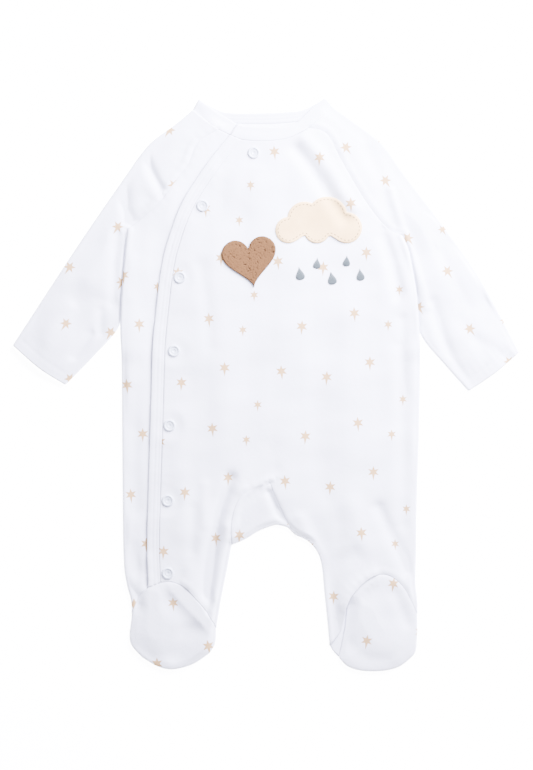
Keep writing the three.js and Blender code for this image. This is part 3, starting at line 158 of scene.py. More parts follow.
# Creases: the points each one passes through, height of the ridge (a trough is negative), half width,
# and how much steeper its left side is than its right one
CREASES = [
    {"path": [(-107, 457), (-101, 441), (-92, 424)], "rise": -1.9, "width": 5, "skew": 0.2},
    {"path": [(-109, 450), (-103, 435), (-96, 422)], "rise": 0.6, "width": 5.3, "skew": 0},
    {"path": [(-129, 434), (-125, 414), (-121, 396)], "rise": -1.9, "width": 6, "skew": -0.2},
    {"path": [(-145, 317), (-145, 307), (-145, 298)], "rise": -0.8, "width": 4.4, "skew": 0},
    {"path": [(-154, 296), (-160, 287), (-168, 277)], "rise": -1.0, "width": 4.4, "skew": 0.2},
    {"path": [(-132, 380), (-145, 361), (-155, 345)], "rise": 0.5, "width": 7.9, "skew": 0},
    {"path": [(-139, 324), (-150, 328), (-164, 324)], "rise": -0.5, "width": 6.2, "skew": 0},
    {"path": [(-137, 356), (-149, 341), (-168, 327)], "rise": -0.5, "width": 7.9, "skew": 0.3},
    {"path": [(-174, 322), (-185, 308), (-192, 291)], "rise": 0.5, "width": 7.0, "skew": 0},
    {"path": [(147, 325), (156, 294), (167, 267), (175, 249)], "rise": -1.2, "width": 5.3, "skew": 0},
    {"path": [(89, 457), (100, 435), (107, 409)], "rise": -0.7, "width": 7.0, "skew": 0},
    {"path": [(135, 390), (149, 363), (160, 333)], "rise": 0.5, "width": 7.9, "skew": 0},
    {"path": [(153, 368), (168, 340), (179, 319)], "rise": -0.6, "width": 7.0, "skew": 0.2},
    {"path": [(141, 310), (150, 289), (161, 271)], "rise": 0.6, "width": 5.3, "skew": 0},
    {"path": [(171, 309), (184, 291), (191, 279)], "rise": -0.5, "width": 6.2, "skew": 0},
    {"path": [(104, 388), (115, 353), (119, 334)], "rise": -1.0, "width": 4.4, "skew": 0.2},
    {"path": [(120, 309), (121, 277), (120, 246)], "rise": -0.9, "width": 5.3, "skew": 0},
    {"path": [(107, 379), (103, 344), (100, 312)], "rise": 0.5, "width": 8.8, "skew": 0},
    {"path": [(-58, 357), (-51, 318), (-49, 287)], "rise": -0.7, "width": 7.0, "skew": 0},
    {"path": [(-29, 459), (-35, 437), (-40, 412)], "rise": -0.5, "width": 7.9, "skew": 0},
    {"path": [(-6, 440), (-9, 426), (-16, 415)], "rise": 0.4, "width": 7.0, "skew": 0},
    {"path": [(17, 306), (24, 255), (23, 209)], "rise": 0.45, "width": 17.6, "skew": 0},
    {"path": [(-34, 300), (-38, 247), (-33, 203)], "rise": 0.45, "width": 15.8, "skew": 0},
    {"path": [(67, 300), (72, 253), (67, 203)], "rise": 0.4, "width": 17.6, "skew": 0},
    {"path": [(50, 238), (47, 203), (52, 173)], "rise": -0.4, "width": 12.3, "skew": 0},
    {"path": [(-5, 194), (-15, 180), (-24, 164)], "rise": 0.6, "width": 7.0, "skew": 0},
    {"path": [(9, 177), (-4, 170), (-14, 165)], "rise": -0.5, "width": 5.3, "skew": 0},
    {"path": [(-27, 128), (-26, 140), (-21, 152), (-12, 162), (-3.5, 165.5)],
     "rise": 1.3, "width": 8.5, "skew": -0.65},
    {"path": [(-51, 69), (-50, 60), (-51, 51)], "rise": -0.8, "width": 3.5, "skew": 0},
    {"path": [(-64, 143), (-64, 124), (-65, 106)], "rise": -0.7, "width": 5.3, "skew": 0},
    {"path": [(-66, 89), (-66, 82), (-67, 77)], "rise": 0.8, "width": 6.2, "skew": 0},
    {"path": [(-74, 177), (-73, 150), (-76, 124)], "rise": 0.4, "width": 7.9, "skew": 0},
    {"path": [(-106, 61), (-99, 42), (-97, 22)], "rise": 0.6, "width": 7.9, "skew": 0},
    {"path": [(-71, 37), (-74, 23), (-81, 12)], "rise": -0.5, "width": 6.2, "skew": 0},
    {"path": [(49, 78), (51, 64), (53, 50)], "rise": -0.8, "width": 3.5, "skew": 0},
    {"path": [(52, 158), (61, 141), (65, 118)], "rise": -0.5, "width": 7.9, "skew": 0},
    {"path": [(75, 149), (82, 128), (86, 107)], "rise": 0.5, "width": 7.9, "skew": 0},
    {"path": [(114, 68), (119, 55), (124, 43)], "rise": -0.8, "width": 5.3, "skew": 0},
    {"path": [(79, 59), (89, 49), (96, 33)], "rise": 0.5, "width": 7.9, "skew": 0},
    {"path": [(73, 24), (87, 14), (105, 10)], "rise": -0.5, "width": 6.2, "skew": 0},
    {"path": [(-117, 326), (-116, 291), (-117, 256)], "rise": 0.5, "width": 6.2, "skew": 0},
    {"path": [(-114, 212), (-116, 177), (-114, 142)], "rise": -0.45, "width": 6.2, "skew": 0},
    {"path": [(-117, 110), (-114, 88), (-109, 69)], "rise": -0.6, "width": 5.3, "skew": 0},
    {"path": [(-104, 415), (-111, 391), (-116, 371)], "rise": -0.5, "width": 6.2, "skew": 0},
    {"path": [(35, 467), (48, 453), (59, 437), (68, 422), (79, 407)], "rise": 1.2, "width": 6.5, "skew": 0},
    {"path": [(27, 458), (37, 446), (47, 431), (57, 416), (67, 400)], "rise": -1.7, "width": 6.5, "skew": 0},
    {"path": [(-31, 170), (-38, 151), (-44, 130), (-48, 108), (-51, 84), (-52, 68)],
     "rise": -2.5, "width": 5.5, "skew": 0},
    {"path": [(-34, 128), (-38, 108), (-41, 84), (-43, 66)], "rise": 1.1, "width": 4.5, "skew": 0},
    {"path": [(-54, 164), (-54, 146), (-53, 130)], "rise": 0.6, "width": 4.5, "skew": 0},
    {"path": [(3, 157), (7, 148), (12, 138), (19, 127)], "rise": -1.7, "width": 3.6, "skew": 0},
    {"path": [(-79, 73), (-64, 59), (-50, 42)], "rise": 1.1, "width": 4.5, "skew": 0.2},
    {"path": [(-84, 61), (-73, 50), (-64, 39)], "rise": -1.2, "width": 8.5, "skew": 0},
    {"path": [(-45, 36), (-50, 20)], "rise": 1.8, "width": 17, "skew": 0},
    {"path": [(-70, 30), (-77, 16)], "rise": -1.0, "width": 9, "skew": 0},
    {"path": [(-121, 67), (-113, 58)], "rise": -1.5, "width": 7, "skew": 0},
    {"path": [(-113, 79), (-100, 67)], "rise": 1.4, "width": 7.5, "skew": 0},
    {"path": [(-104, 98), (-103, 84)], "rise": 1.1, "width": 6, "skew": 0},
    {"path": [(72, 60), (76, 70), (83, 78), (93, 83)], "rise": 1.6, "width": 8, "skew": 0},
    {"path": [(58, 84), (66, 96), (78, 104)], "rise": -1.0, "width": 8, "skew": 0},
    {"path": [(56, 70), (57, 52), (57, 34)], "rise": -1.6, "width": 9, "skew": 0},
    {"path": [(99, 144), (109, 124), (118, 105), (125, 90)], "rise": -1.5, "width": 6, "skew": 0},
    {"path": [(-28, 114), (-12, 121), (8, 130), (22, 126), (36, 116)],
     "rise": 0.8, "width": 4.5, "skew": 0},
    {"path": [(117, 285), (120, 250), (120, 215), (121, 170), (120, 130)],
     "rise": -0.9, "width": 6, "skew": 0},
    {"path": [(102, 380), (108, 360), (113, 342), (115, 330)], "rise": -1.2, "width": 5.5, "skew": 0},
    {"path": [(30, 134), (41, 110), (46, 84), (48, 66)], "rise": 1.3, "width": 6, "skew": 0},
    {"path": [(110, 423), (117.5, 398), (128.5, 367), (136.5, 341), (141.5, 320)],
     "rise": 0.8, "width": 3.6, "skew": 0.15},
    {"path": [(-131, 384), (-133, 355), (-134, 325)], "rise": -1.0, "width": 5, "skew": 0},
    {"path": [(186, 292), (201, 283), (214, 275)], "rise": -0.8, "width": 6, "skew": 0},
]

# Snap centres down the wrap
SNAPS = [(-10.5, 456), (-55.5, 409.5), (-75.5, 346.5), (-80.5, 282), (-84.5, 216.5), (-86, 150.5), (-86, 86.7)]

# Embroidered drops: centre, tilt in degrees and length
DROPS = [(30, 350, 8, 12), (45, 359, -6, 10), (58, 346, 10, 12), (71, 361, -4, 10), (83, 349, 6, 11)]

# The cloud patch: centre, then x, y and radius of its puffs around it
CLOUD_CENTRE = (45, 393)
CLOUD_PUFFS = [(-25, -5, 11.5), (-11, 5, 15), (9, 7, 17.5), (26, -3, 13.5), (0, -5, 11.5)]
HEART = {"centre": (-14, 363), "half_width": 24, "tilt": 9}

# The print repeats along two directions; each star of a repeat has a place, a size and a turn in degrees
REPEAT_ACROSS = (127.6, 4.8)
REPEAT_DOWN = (3.1, -96.4)
STARS = [
    {"x": 0, "y": 0, "size": 5.6, "turn": 4},
    {"x": 29.7, "y": -9.9, "size": 4.4, "turn": 0},
    {"x": 81.5, "y": -6.8, "size": 5.6, "turn": -4},
    {"x": 13.7, "y": -43.1, "size": 5.6, "turn": 0},
    {"x": 63.7, "y": -46.2, "size": 5.6, "turn": 5},
    {"x": 42.8, "y": -75.6, "size": 4.4, "turn": 0},
    {"x": 103.4, "y": -51.3, "size": 5.6, "turn": -3},
]

# Where a star of the first row of STARS lies on each panel, and how the cloth's grain is turned
PRINTS = {
    "over": {"x": -49.9, "y": 310.3, "turn": 0},
    "under": {"x": -121.8, "y": 252.1, "turn": 0},
    "left_sleeve": {"x": -148.4, "y": 572.2, "turn": -30},
    "right_sleeve": {"x": 124.7, "y": 381, "turn": 32.5},
    "left_foot": {"x": -50.6, "y": 22.9, "turn": 5},
    "right_foot": {"x": 8.2, "y": 41.4, "turn": -5},
    "back": {"x": 20, "y": 300, "turn": 0},
    "gusset": {"x": 22.9, "y": 132, "turn": 0},
}

rng = np.random.default_rng(7)


def smooth(t):
    t = np.clip(t, 0, 1)
    return t * t * (3 - 2 * t)


def mix(a, b, t):
    return a + (b - a) * t


def spline(rows, steps=8):
    """Catmull-Rom curve: between two rows, the cubic with their places and half the chords around them."""
    p = np.array(rows, float)
    q = np.vstack([p[:1], p, p[-1:]])
    t = np.linspace(0, 1, steps, endpoint=False)[:, None]
    start, end = q[1:-2, None], q[2:-1, None]
    leave = (q[2:-1] - q[:-3])[:, None] / 2
    arrive = (q[3:] - q[1:-2])[:, None] / 2
    cubic = 2 * (start - end) + leave + arrive
    square = 3 * (end - start) - 2 * leave - arrive
    return np.vstack([(start + leave * t + square * t**2 + cubic * t**3).reshape(-1, 2), p[-1:]])


CURVES = {name: spline(rows) for name, rows in SEAMS.items()}


def arc_shares(line):
    at = np.concatenate([[0], np.cumsum(np.linalg.norm(np.diff(line, axis=0), axis=1))])
    return at / at[-1]


def along(line, shares):
    """Points of a line at shares of its length."""
    at = arc_shares(line)
    return np.column_stack([np.interp(shares, at, line[:, k]) for k in range(line.shape[1])])


def straight(p, q):
    return np.array([p, q], float)


def chain(*lines):
    return np.vstack([lines[0]] + [line[1:] for line in lines[1:]])


def at_height(line, y):
    """The point of a falling line at a height."""
    return np.array([np.interp(-y, -line[:, 1], line[:, 0]), y])


def stretch(line, top, bottom):
    """A falling line between two heights."""
    inside = line[(line[:, 1] < top - 0.01) & (line[:, 1] > bottom + 0.01)]
    return np.vstack([at_height(line, top), inside, at_height(line, bottom)])


def beside(line, distance):
    """A line moved sideways, to the right of the way it runs."""
    way = np.gradient(line, axis=0)
    way /= np.linalg.norm(way, axis=1)[:, None]
    return line + distance * np.column_stack([way[:, 1], -way[:, 0]])


def hem_line(side):
    """The cuff's edge moved up the sleeve by CUFF_HEM, its ends on the sleeve's two folds."""
    cuff = CURVES[f"cuff_{side}"]
    ends = []
    for name in (f"sleeve_{side}_outer", f"sleeve_{side}_inner"):
        line = CURVES[name]
        total = np.linalg.norm(np.diff(line, axis=0), axis=1).sum()
        ends.append(along(line, np.array([1 - CUFF_HEM / total]))[0])
    share = arc_shares(cuff)[:, None]
    return cuff + (ends[0] - cuff[0]) * (1 - share) + (ends[1] - cuff[-1]) * share


CURVES["hem_left"], CURVES["hem_right"] = hem_line("left"), hem_line("right")
ARMPIT_LEFT = CURVES["raglan_left"][-1]
ARMPIT_RIGHT = CURVES["raglan_right"][-1]
SIDE_LEFT = spline([(left, y) for y, left, _ in BODY_SIDES])
SIDE_RIGHT = spline([(right, y) for y, _, right in BODY_SIDES])
SIDE_LEFT = np.vstack([ARMPIT_LEFT, SIDE_LEFT[SIDE_LEFT[:, 1] < ARMPIT_LEFT[1] - 0.5]])
SIDE_RIGHT = np.vstack([ARMPIT_RIGHT, SIDE_RIGHT[SIDE_RIGHT[:, 1] < ARMPIT_RIGHT[1] - 0.5]])
LEG_EDGES = ["inside_leg_left", "crotch_left", "crotch_right", "inside_leg_right"]
FOOT_EDGES = ["foot_left_outer", "toes_left", "foot_left_inner", "heel_right", "toes_right", "foot_right_outer"]
BODY_EDGES = [SIDE_LEFT, SIDE_RIGHT] + [CURVES[name] for name in LEG_EDGES + FOOT_EDGES]
SLEEVE_OUTER = [CURVES["sleeve_left_outer"], CURVES["sleeve_right_outer"]]
SLEEVE_EDGES = SLEEVE_OUTER + [CURVES["sleeve_left_inner"], CURVES["sleeve_right_inner"]]
VAMP_EDGES = BODY_EDGES + [CURVES["vamp_side_right"]]
WRAP = beside(along(CURVES["placket_seam"], np.linspace(0, 1, 61)), PLACKET_WIDTH)


def nearest(lines, x, y):
    """Distance to the nearest of the lines, the place along them, and the side: positive on their right."""
    a = np.vstack([line[:-1] for line in lines])
    d = np.vstack([np.diff(line, axis=0) for line in lines])
    size = (d**2).sum(1)
    place = np.concatenate([[0], np.cumsum(np.sqrt(size))[:-1]])
    p = np.column_stack([np.ravel(x), np.ravel(y)])
    found = np.zeros((len(p), 3))
    for k in range(0, len(p), 3000):
        away = p[k:k + 3000, None] - a[None]
        t = np.clip((away * d).sum(-1) / size, 0, 1)
        off = away - t[..., None] * d
        square = (off**2).sum(-1)
        best = square.argmin(1)
        row = np.arange(len(best))
        turn = d[best, 1] * off[row, best, 0] - d[best, 0] * off[row, best, 1]
        found[k:k + 3000, 0] = np.sqrt(square[row, best])
        found[k:k + 3000, 1] = place[best] + t[row, best] * np.sqrt(size[best])
        found[k:k + 3000, 2] = np.sign(turn)
    return [column.reshape(np.shape(x)) for column in found.T]


def distance(lines, x, y):
    return nearest(lines, x, y)[0]


def crease_height(x, y):
    """Sum of each crease's rise times exp(-(distance / width)^2), its bell narrower on one side."""
    height = np.zeros_like(x)
    for crease in CREASES:
        d, _, side = nearest([spline(crease["path"], 5)], x, y)
        width = crease["width"] * (1 + crease["skew"] * side)
        height += CREASE_DEPTH * crease["rise"] * np.exp(-(d / width) ** 2)
    return height


WAVES = 26
WAVE_ANGLE = rng.uniform(0, 2 * np.pi, WAVES)
WAVE_LENGTH = rng.uniform(18, 85, WAVES)
WAVE_START = rng.uniform(0, 2 * np.pi, WAVES)


def waviness(x, y):
    """Slack of the cloth: the mean of many long sine waves in all directions, scaled up by their root."""
    total = np.zeros_like(x)
    for angle, length, start in zip(WAVE_ANGLE, WAVE_LENGTH, WAVE_START):
        across = (x * math.cos(angle) + y * math.sin(angle)) * 2 * math.pi / length
        total += np.sin(across + start) * length / 55
    return total / math.sqrt(WAVES)


# Seams that show on the front: depth of their valley, how far their cloth puckers and over which length,
# and the ridge beside them, positive on the right of the way they run
SEAM_LOOKS = [
    {"line": "raglan_left", "valley": 0.5, "pucker": 0.14, "pitch": 8, "ridge": 0.5},
    {"line": "raglan_right", "valley": 0.3, "pucker": 0.14, "pitch": 9, "ridge": -0.35},
    {"line": "placket_seam", "valley": 0.05, "pucker": 0.1, "pitch": 9, "ridge": 0},
    {"line": "gusset_arch", "valley": 0.25, "pucker": 0.12, "pitch": 7, "ridge": 0.3},
    {"line": "gusset_fold", "valley": 0.1, "pucker": 0.08, "pitch": 9, "ridge": 0},
    {"line": "vamp_left_outer", "valley": 0.4, "pucker": 0.12, "pitch": 7, "ridge": -0.2},
    {"line": "vamp_left_inner", "valley": 0.45, "pucker": 0.2, "pitch": 6.5, "ridge": -0.3},
    {"line": "vamp_arc_right", "valley": 0.45, "pucker": 0.22, "pitch": 6.5, "ridge": -0.3},
    {"line": "hem_left", "valley": 0.2, "pucker": 0.1, "pitch": 6, "ridge": 0},
    {"line": "hem_right", "valley": 0.2, "pucker": 0.1, "pitch": 6, "ridge": 0},
]
VALLEY_WIDTH = 1.5
PUCKER_REACH = 6
RIDGE_OFFSET = 4


def seam_relief(x, y):
    """Along each seam a narrow valley, short waves that fade over PUCKER_REACH, and the ridge of its turning."""
    height = np.zeros_like(x)
    for look in SEAM_LOOKS:
        d, place, side = nearest([CURVES[look["line"]]], x, y)
        beat = 1 + 0.4 * np.sin(place / 23)
        wave = np.sin(2 * np.pi * place / look["pitch"] + 2 * np.sin(place / 17)) * beat
        height -= look["valley"] * np.exp(-(d / VALLEY_WIDTH) ** 2)
        height += look["pucker"] * wave * np.exp(-d / PUCKER_REACH) * (1 - np.exp(-(d / 1.5) ** 2))
        across = d * side * np.sign(look["ridge"])
        height += abs(look["ridge"]) * np.exp(-((across - RIDGE_OFFSET) / 2.2) ** 2)
    return height


def tuck_share(x, y):
    """Share of the lift that the body's side edges get where a sleeve lies under them."""
    return np.where(np.abs(x) > 60, smooth((408 - y) / 14) * smooth((y - 268) / 18), 0)


def roll(d, radius):
    """Quarter round at an edge."""
    d = np.clip(d, 0, radius)
    return np.sqrt(radius**2 - (radius - d) ** 2)


def front_level(x, y, edges=BODY_EDGES, lifted=True):
    """Middle of the front's top layer: rolled at the edges, puffed inside, with creases, slack and seams."""
    d = distance(edges, x, y) - CLOTH / 2
    shared = np.minimum(d, distance(SLEEVE_OUTER, x, y))
    lift = TUCK_LIFT * tuck_share(x, y) * lifted
    rolled = RIM_LEVEL + lift + roll(d, EDGE_ROLL)
    relief = crease_height(x, y) + SLACK * waviness(x, y) + 0.8 * lift * (1 - smooth(d / LIFT_REACH))
    puff = PUFF * smooth(shared / PUFF_REACH) * mix(WRAP_PUFF, 1, smooth(distance([WRAP], x, y) / PUFF_REACH))
    free = OVER_MID + puff + relief
    floor = OVER_MID - trough_depth(x, y)
    free = floor + softened(free - floor) + seam_relief(x, y)
    return mix(rolled, free, smooth((d - EDGE_ROLL) / EDGE_FADE))


def single_share(x, y):
    """Share of one layer: none where the under panel lies below the wrap."""
    away, _, side = nearest([WRAP], x, y)
    return np.where(side > 0, 1, smooth((away - UNDERLAP) / 10))


def trough_depth(x, y):
    return mix(WRAP_TROUGH_DEPTH, TROUGH_DEPTH, single_share(x, y))


def softened(height):
    """Heights under nought fade to nought, so a deep trough ends in a soft floor."""
    return (height + np.sqrt(height**2 + 0.1)) / 2


def outside_wrap(x, y):
    """How far a point lies outside the wrap's edge, on the side where the under panel shows."""
    d, _, side = nearest([WRAP], x, y)
    return np.where(side > 0, d, 0)


def under_level(x, y):
    """A layer below the wrap, but level with the front at the side, the armhole, the foot and the neck."""
    shown = smooth((outside_wrap(x, y) - 0.5) / 9)
    edge = 1 - smooth((distance(BODY_EDGES, x, y) - CLOTH / 2) / 14)
    ends = [CURVES[name] for name in ("raglan_left", "vamp_left_outer", "band_left_panel")]
    free = front_level(x, y) - LAYER_STEP * (1 - edge) * smooth(distance(ends, x, y) / 22)
    return mix(np.minimum(free, UNDER_MID + 0.4), free, np.maximum(shown, edge))


def over_level(x, y):
    """The wrap clears the panel below it and is level around each snap."""
    level = front_level(x, y)
    inside = smooth((distance(BODY_EDGES, x, y) - 8) / 8) * (1 - single_share(x, y))
    level = np.maximum(level, mix(level, OVER_MID + 0.4, inside))
    for sx, sy in SNAPS:
        r = np.hypot(x - sx, y - sy)
        level = mix(SNAP_LEVEL, level, smooth((r - 6) / 10))
    return level


def vamp_level(x, y):
    """The front's height, sloping down gently to the sole along the side where the foot has turned over."""
    level = front_level(x, y, VAMP_EDGES, lifted=False)
    side = distance([CURVES["vamp_side_right"]], x, y)
    return np.minimum(level, mix(RIM_LEVEL + 0.4, OVER_MID + 2, smooth(side / 14)))


def flat_level(x, y):
    return np.full_like(x, BACK_MID)


def back_level(x, y):
    d = distance(BODY_EDGES, x, y)
    return BACK_MID + TUCK_LIFT * tuck_share(x, y) * (1 - smooth((d - 6) / 10))


def outside_body(x, y):
    """How far a point lies outside the body's side edge; negative where the body lies over it."""
    side = np.where(x < 0, 0, 1)
    lines = [SIDE_LEFT, SIDE_RIGHT]
    far = np.stack([distance([line], x, y) for line in lines])
    edge = np.stack([np.abs(np.interp(-y, -line[:, 1], line[:, 0])) for line in lines])
    top = np.array([line[0, 1] for line in lines])
    d = np.where(side == 0, far[0], far[1])
    limit = np.where(side == 0, edge[0], edge[1])
    return np.where((y < top[side]) & (np.abs(x) < limit), -d, d)


def sleeve_free(x, y):
    """Share of a sleeve's full height: none where the body presses on it."""
    return smooth((outside_body(x, y) - 0.1) / 2.4)


def sleeve_radius(x, y):
    return mix(LAYER_STEP / 2, EDGE_ROLL, sleeve_free(x, y))


def sleeve_top(x, y):
    """Rolled at both folds, puffed between them, and pressed low where the body lies on it."""
    radius = sleeve_radius(x, y)
    d = distance(SLEEVE_EDGES, x, y) - CLOTH / 2
    relief = crease_height(x, y) + SLACK * waviness(x, y) + seam_relief(x, y)
    free = np.maximum(OVER_MID + PUFF * smooth(d / PUFF_REACH) + relief, OVER_MID - TROUGH_DEPTH)
    top = mix(UNDER_MID, free, sleeve_free(x, y))
    fade = mix(10, 3.5, np.minimum(1, 1.5 * tuck_share(x, y)))
    return mix(BACK_MID + radius + roll(d, radius), top, smooth((d - radius) / fade))


def sleeve_under(x, y):
    radius = sleeve_radius(x, y)
    return BACK_MID + radius - roll(distance(SLEEVE_EDGES, x, y) - CLOTH / 2, radius)


def shares(length, edges="", cell=CELL):
    """Shares of a length in even cells, with closer lines at its start, its end or both: "s", "e" or "se"."""
    even = np.linspace(0, 1, max(2, round(length / cell)) + 1)
    near = np.array(EDGE_LINES) / length
    low = near if "s" in edges else []
    high = 1 - near if "e" in edges else []
    clear = cell / length * 1.7 if edges else 0
    keep = even[((even > clear) | ("s" not in edges)) & ((even < 1 - clear) | ("e" not in edges))]
    return np.unique(np.round(np.concatenate([[0, 1], low, high, keep]), 6))


def coons(left, right, top, bottom, u, v):
    """Grid between four lines: the blend of left and right plus that of top and bottom, less the corners'."""
    a, b = along(left, v)[:, None], along(right, v)[:, None]
    c, d = along(top, u)[None], along(bottom, u)[None]
    s, t = u[None, :, None], v[:, None, None]
    corners = mix(mix(c[:, :1], c[:, -1:], s), mix(d[:, :1], d[:, -1:], s), t)
    return mix(a, b, s) + mix(c, d, t) - corners


def joined(grids):
    """Points and four-sided faces of several grids, welded where they meet."""
    points = np.vstack([grid.reshape(-1, grid.shape[-1]) for grid in grids])
    faces = []
    start = 0
    for grid in grids:
        rows, columns = grid.shape[:2]
        k = start + np.arange(rows * columns).reshape(rows, columns)
        faces.append(np.stack([k[:-1, :-1], k[1:, :-1], k[1:, 1:], k[:-1, 1:]], -1).reshape(-1, 4))
        start += rows * columns
    return welded(points, np.vstack(faces))


def welded(points, faces):
    _, first, index = np.unique(np.round(points, 3), axis=0, return_index=True, return_inverse=True)
    return points[first], index.reshape(-1)[faces]


def rim_edges(faces):
    """Directed edges that belong to one face only."""
    edges = np.concatenate([np.stack([faces[:, k], faces[:, (k + 1) % 4]], -1) for k in range(4)])
    edges = edges[edges[:, 0] != edges[:, 1]]
    key = edges[:, 0] * (faces.max() + 1) + edges[:, 1]
    back = edges[:, 1] * (faces.max() + 1) + edges[:, 0]
    return edges[~np.isin(back, key)]


def inset(points, faces, edges):
    """Moves the rim inwards: half the cloth where it turns over, a little at a seam."""
    rim = rim_edges(faces)
    step = points[rim[:, 1]] - points[rim[:, 0]]
    step /= np.linalg.norm(step, axis=1)[:, None]
    inwards = np.column_stack([-step[:, 1], step[:, 0]])
    middle = (points[rim[:, 0]] + points[rim[:, 1]]) / 2
    turns = distance(edges, *middle.T) < 0.7 if edges else np.zeros(len(rim), bool)
    amount = np.where(turns, CLOTH / 2, SEAM_INSET)
    move = np.zeros_like(points)
    normal = np.zeros_like(points)
    count = np.zeros(len(points))
    for end in (0, 1):
        np.add.at(normal, rim[:, end], inwards)
        np.add.at(move, rim[:, end], inwards * amount[:, None])
        np.add.at(count, rim[:, end], 1)
    count = np.maximum(count, 1)[:, None]
    size = np.linalg.norm(normal / count, axis=1)[:, None]
    return points + move / count / np.maximum(size, 0.6) ** 2


def lattice(points, place):
    """Coordinates of points along the two directions of the print's repeat."""
    turn = math.radians(place["turn"])
    offset = points[:, :2] - (place["x"], place["y"])
    c, s = math.cos(turn), math.sin(turn)
    grain = offset @ np.array([[c, -s], [s, c]])
    return grain @ np.linalg.inv(np.array([REPEAT_ACROSS, REPEAT_DOWN]))


def corner_lists(faces):
    """Corners of each face; where a side has no length the face becomes a triangle."""
    rows = faces.tolist()
    for k in np.flatnonzero((faces == np.roll(faces, 1, axis=1)).any(1)):
        rows[k] = list(dict.fromkeys(rows[k]))
    return [row for row in rows if len(row) > 2]


def piece(name, points, faces, material, uv=None, thickness=CLOTH):
    """Makes a mesh object in the frame, in metres; Solidify gives a sheet its thickness."""
    mesh = bpy.data.meshes.new(name)
    places = (points - (CUFF_MIDDLE, LENGTH / 2, 0)) / 1000
    mesh.from_pydata(places.tolist(), [], corner_lists(faces))
    mesh.validate()
    mesh.polygons.foreach_set("use_smooth", np.ones(len(mesh.polygons), bool))
    if uv is not None:
        vertex = np.zeros(len(mesh.loops), np.int32)
        mesh.loops.foreach_get("vertex_index", vertex)
        mesh.uv_layers.new(name="fabric").data.foreach_set("uv", uv[vertex].ravel())
    mesh.update()
    made = bpy.data.objects.new(name, mesh)
    bpy.context.collection.objects.link(made)
    made.data.materials.append(material)
    if thickness:
        solid = made.modifiers.new("thickness", "SOLIDIFY")
        solid.thickness = thickness / 1000
        solid.offset = 0
    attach(made, "root")
    return made


def with_heights(points, level):
    return np.column_stack([points, level(points[:, 0], points[:, 1])])


def cloth(name, node, grids, level, edges, place, material):
    """A panel: grids joined to one sheet, its rim moved in and raised to its level, and the CAD part it stands for
    hidden.
    """
    points, faces = joined(grids)
    points = inset(points, faces, edges)
    uv = lattice(points, PRINTS[place]) if place else points / 100
    made = piece(name, with_heights(points, level), faces, material, uv)
    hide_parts(node)
    return made


# Materials: small node trees, with linear reflectances chosen for the bright studio light

def put(tree, socket, value):
    if isinstance(value, bpy.types.NodeSocket):
        tree.links.new(value, socket)
    else:
        socket.default_value = value


def calc(tree, operation, *values, clamp=False):
    made = tree.nodes.new("ShaderNodeMath")
    made.operation = operation
    made.use_clamp = clamp
    for socket, value in zip(made.inputs, values):
        put(tree, socket, value)
    return made.outputs[0]


def blend(tree, share, a, b):
    made = tree.nodes.new("ShaderNodeMix")
    made.data_type = "RGBA"
    for socket, value in zip([made.inputs[0], made.inputs[6], made.inputs[7]], [share, a, b]):
        put(tree, socket, value)
    return made.outputs[2]


def noise(tree, place, scale, detail=3):
    made = tree.nodes.new("ShaderNodeTexNoise")
    put(tree, made.inputs["Vector"], place)
    made.inputs["Scale"].default_value = scale
    made.inputs["Detail"].default_value = detail
    return made.outputs["Fac"]


def bump(tree, height, depth, before=None):
    """Bump of a height from 0 to 1, with its full depth in millimetres."""
    made = tree.nodes.new("ShaderNodeBump")
    made.inputs["Distance"].default_value = depth / 1000
    put(tree, made.inputs["Height"], height)
    if before is not None:
        put(tree, made.inputs["Normal"], before)
    return made.outputs["Normal"]


def start_material(name):
    material = bpy.data.materials.new(name)
    material.use_nodes = True
    tree = material.node_tree
    tree.nodes.clear()
    surface = tree.nodes.new("ShaderNodeBsdfPrincipled")
    output = tree.nodes.new("ShaderNodeOutputMaterial")
    tree.links.new(surface.outputs[0], output.inputs[0])
    place = tree.nodes.new("ShaderNodeTexCoord").outputs["Object"]
    return material, tree, surface, place


STAR_SHARPNESS = 0.3
STAR_WAIST = 0.46
LONG_POINT = 1.45


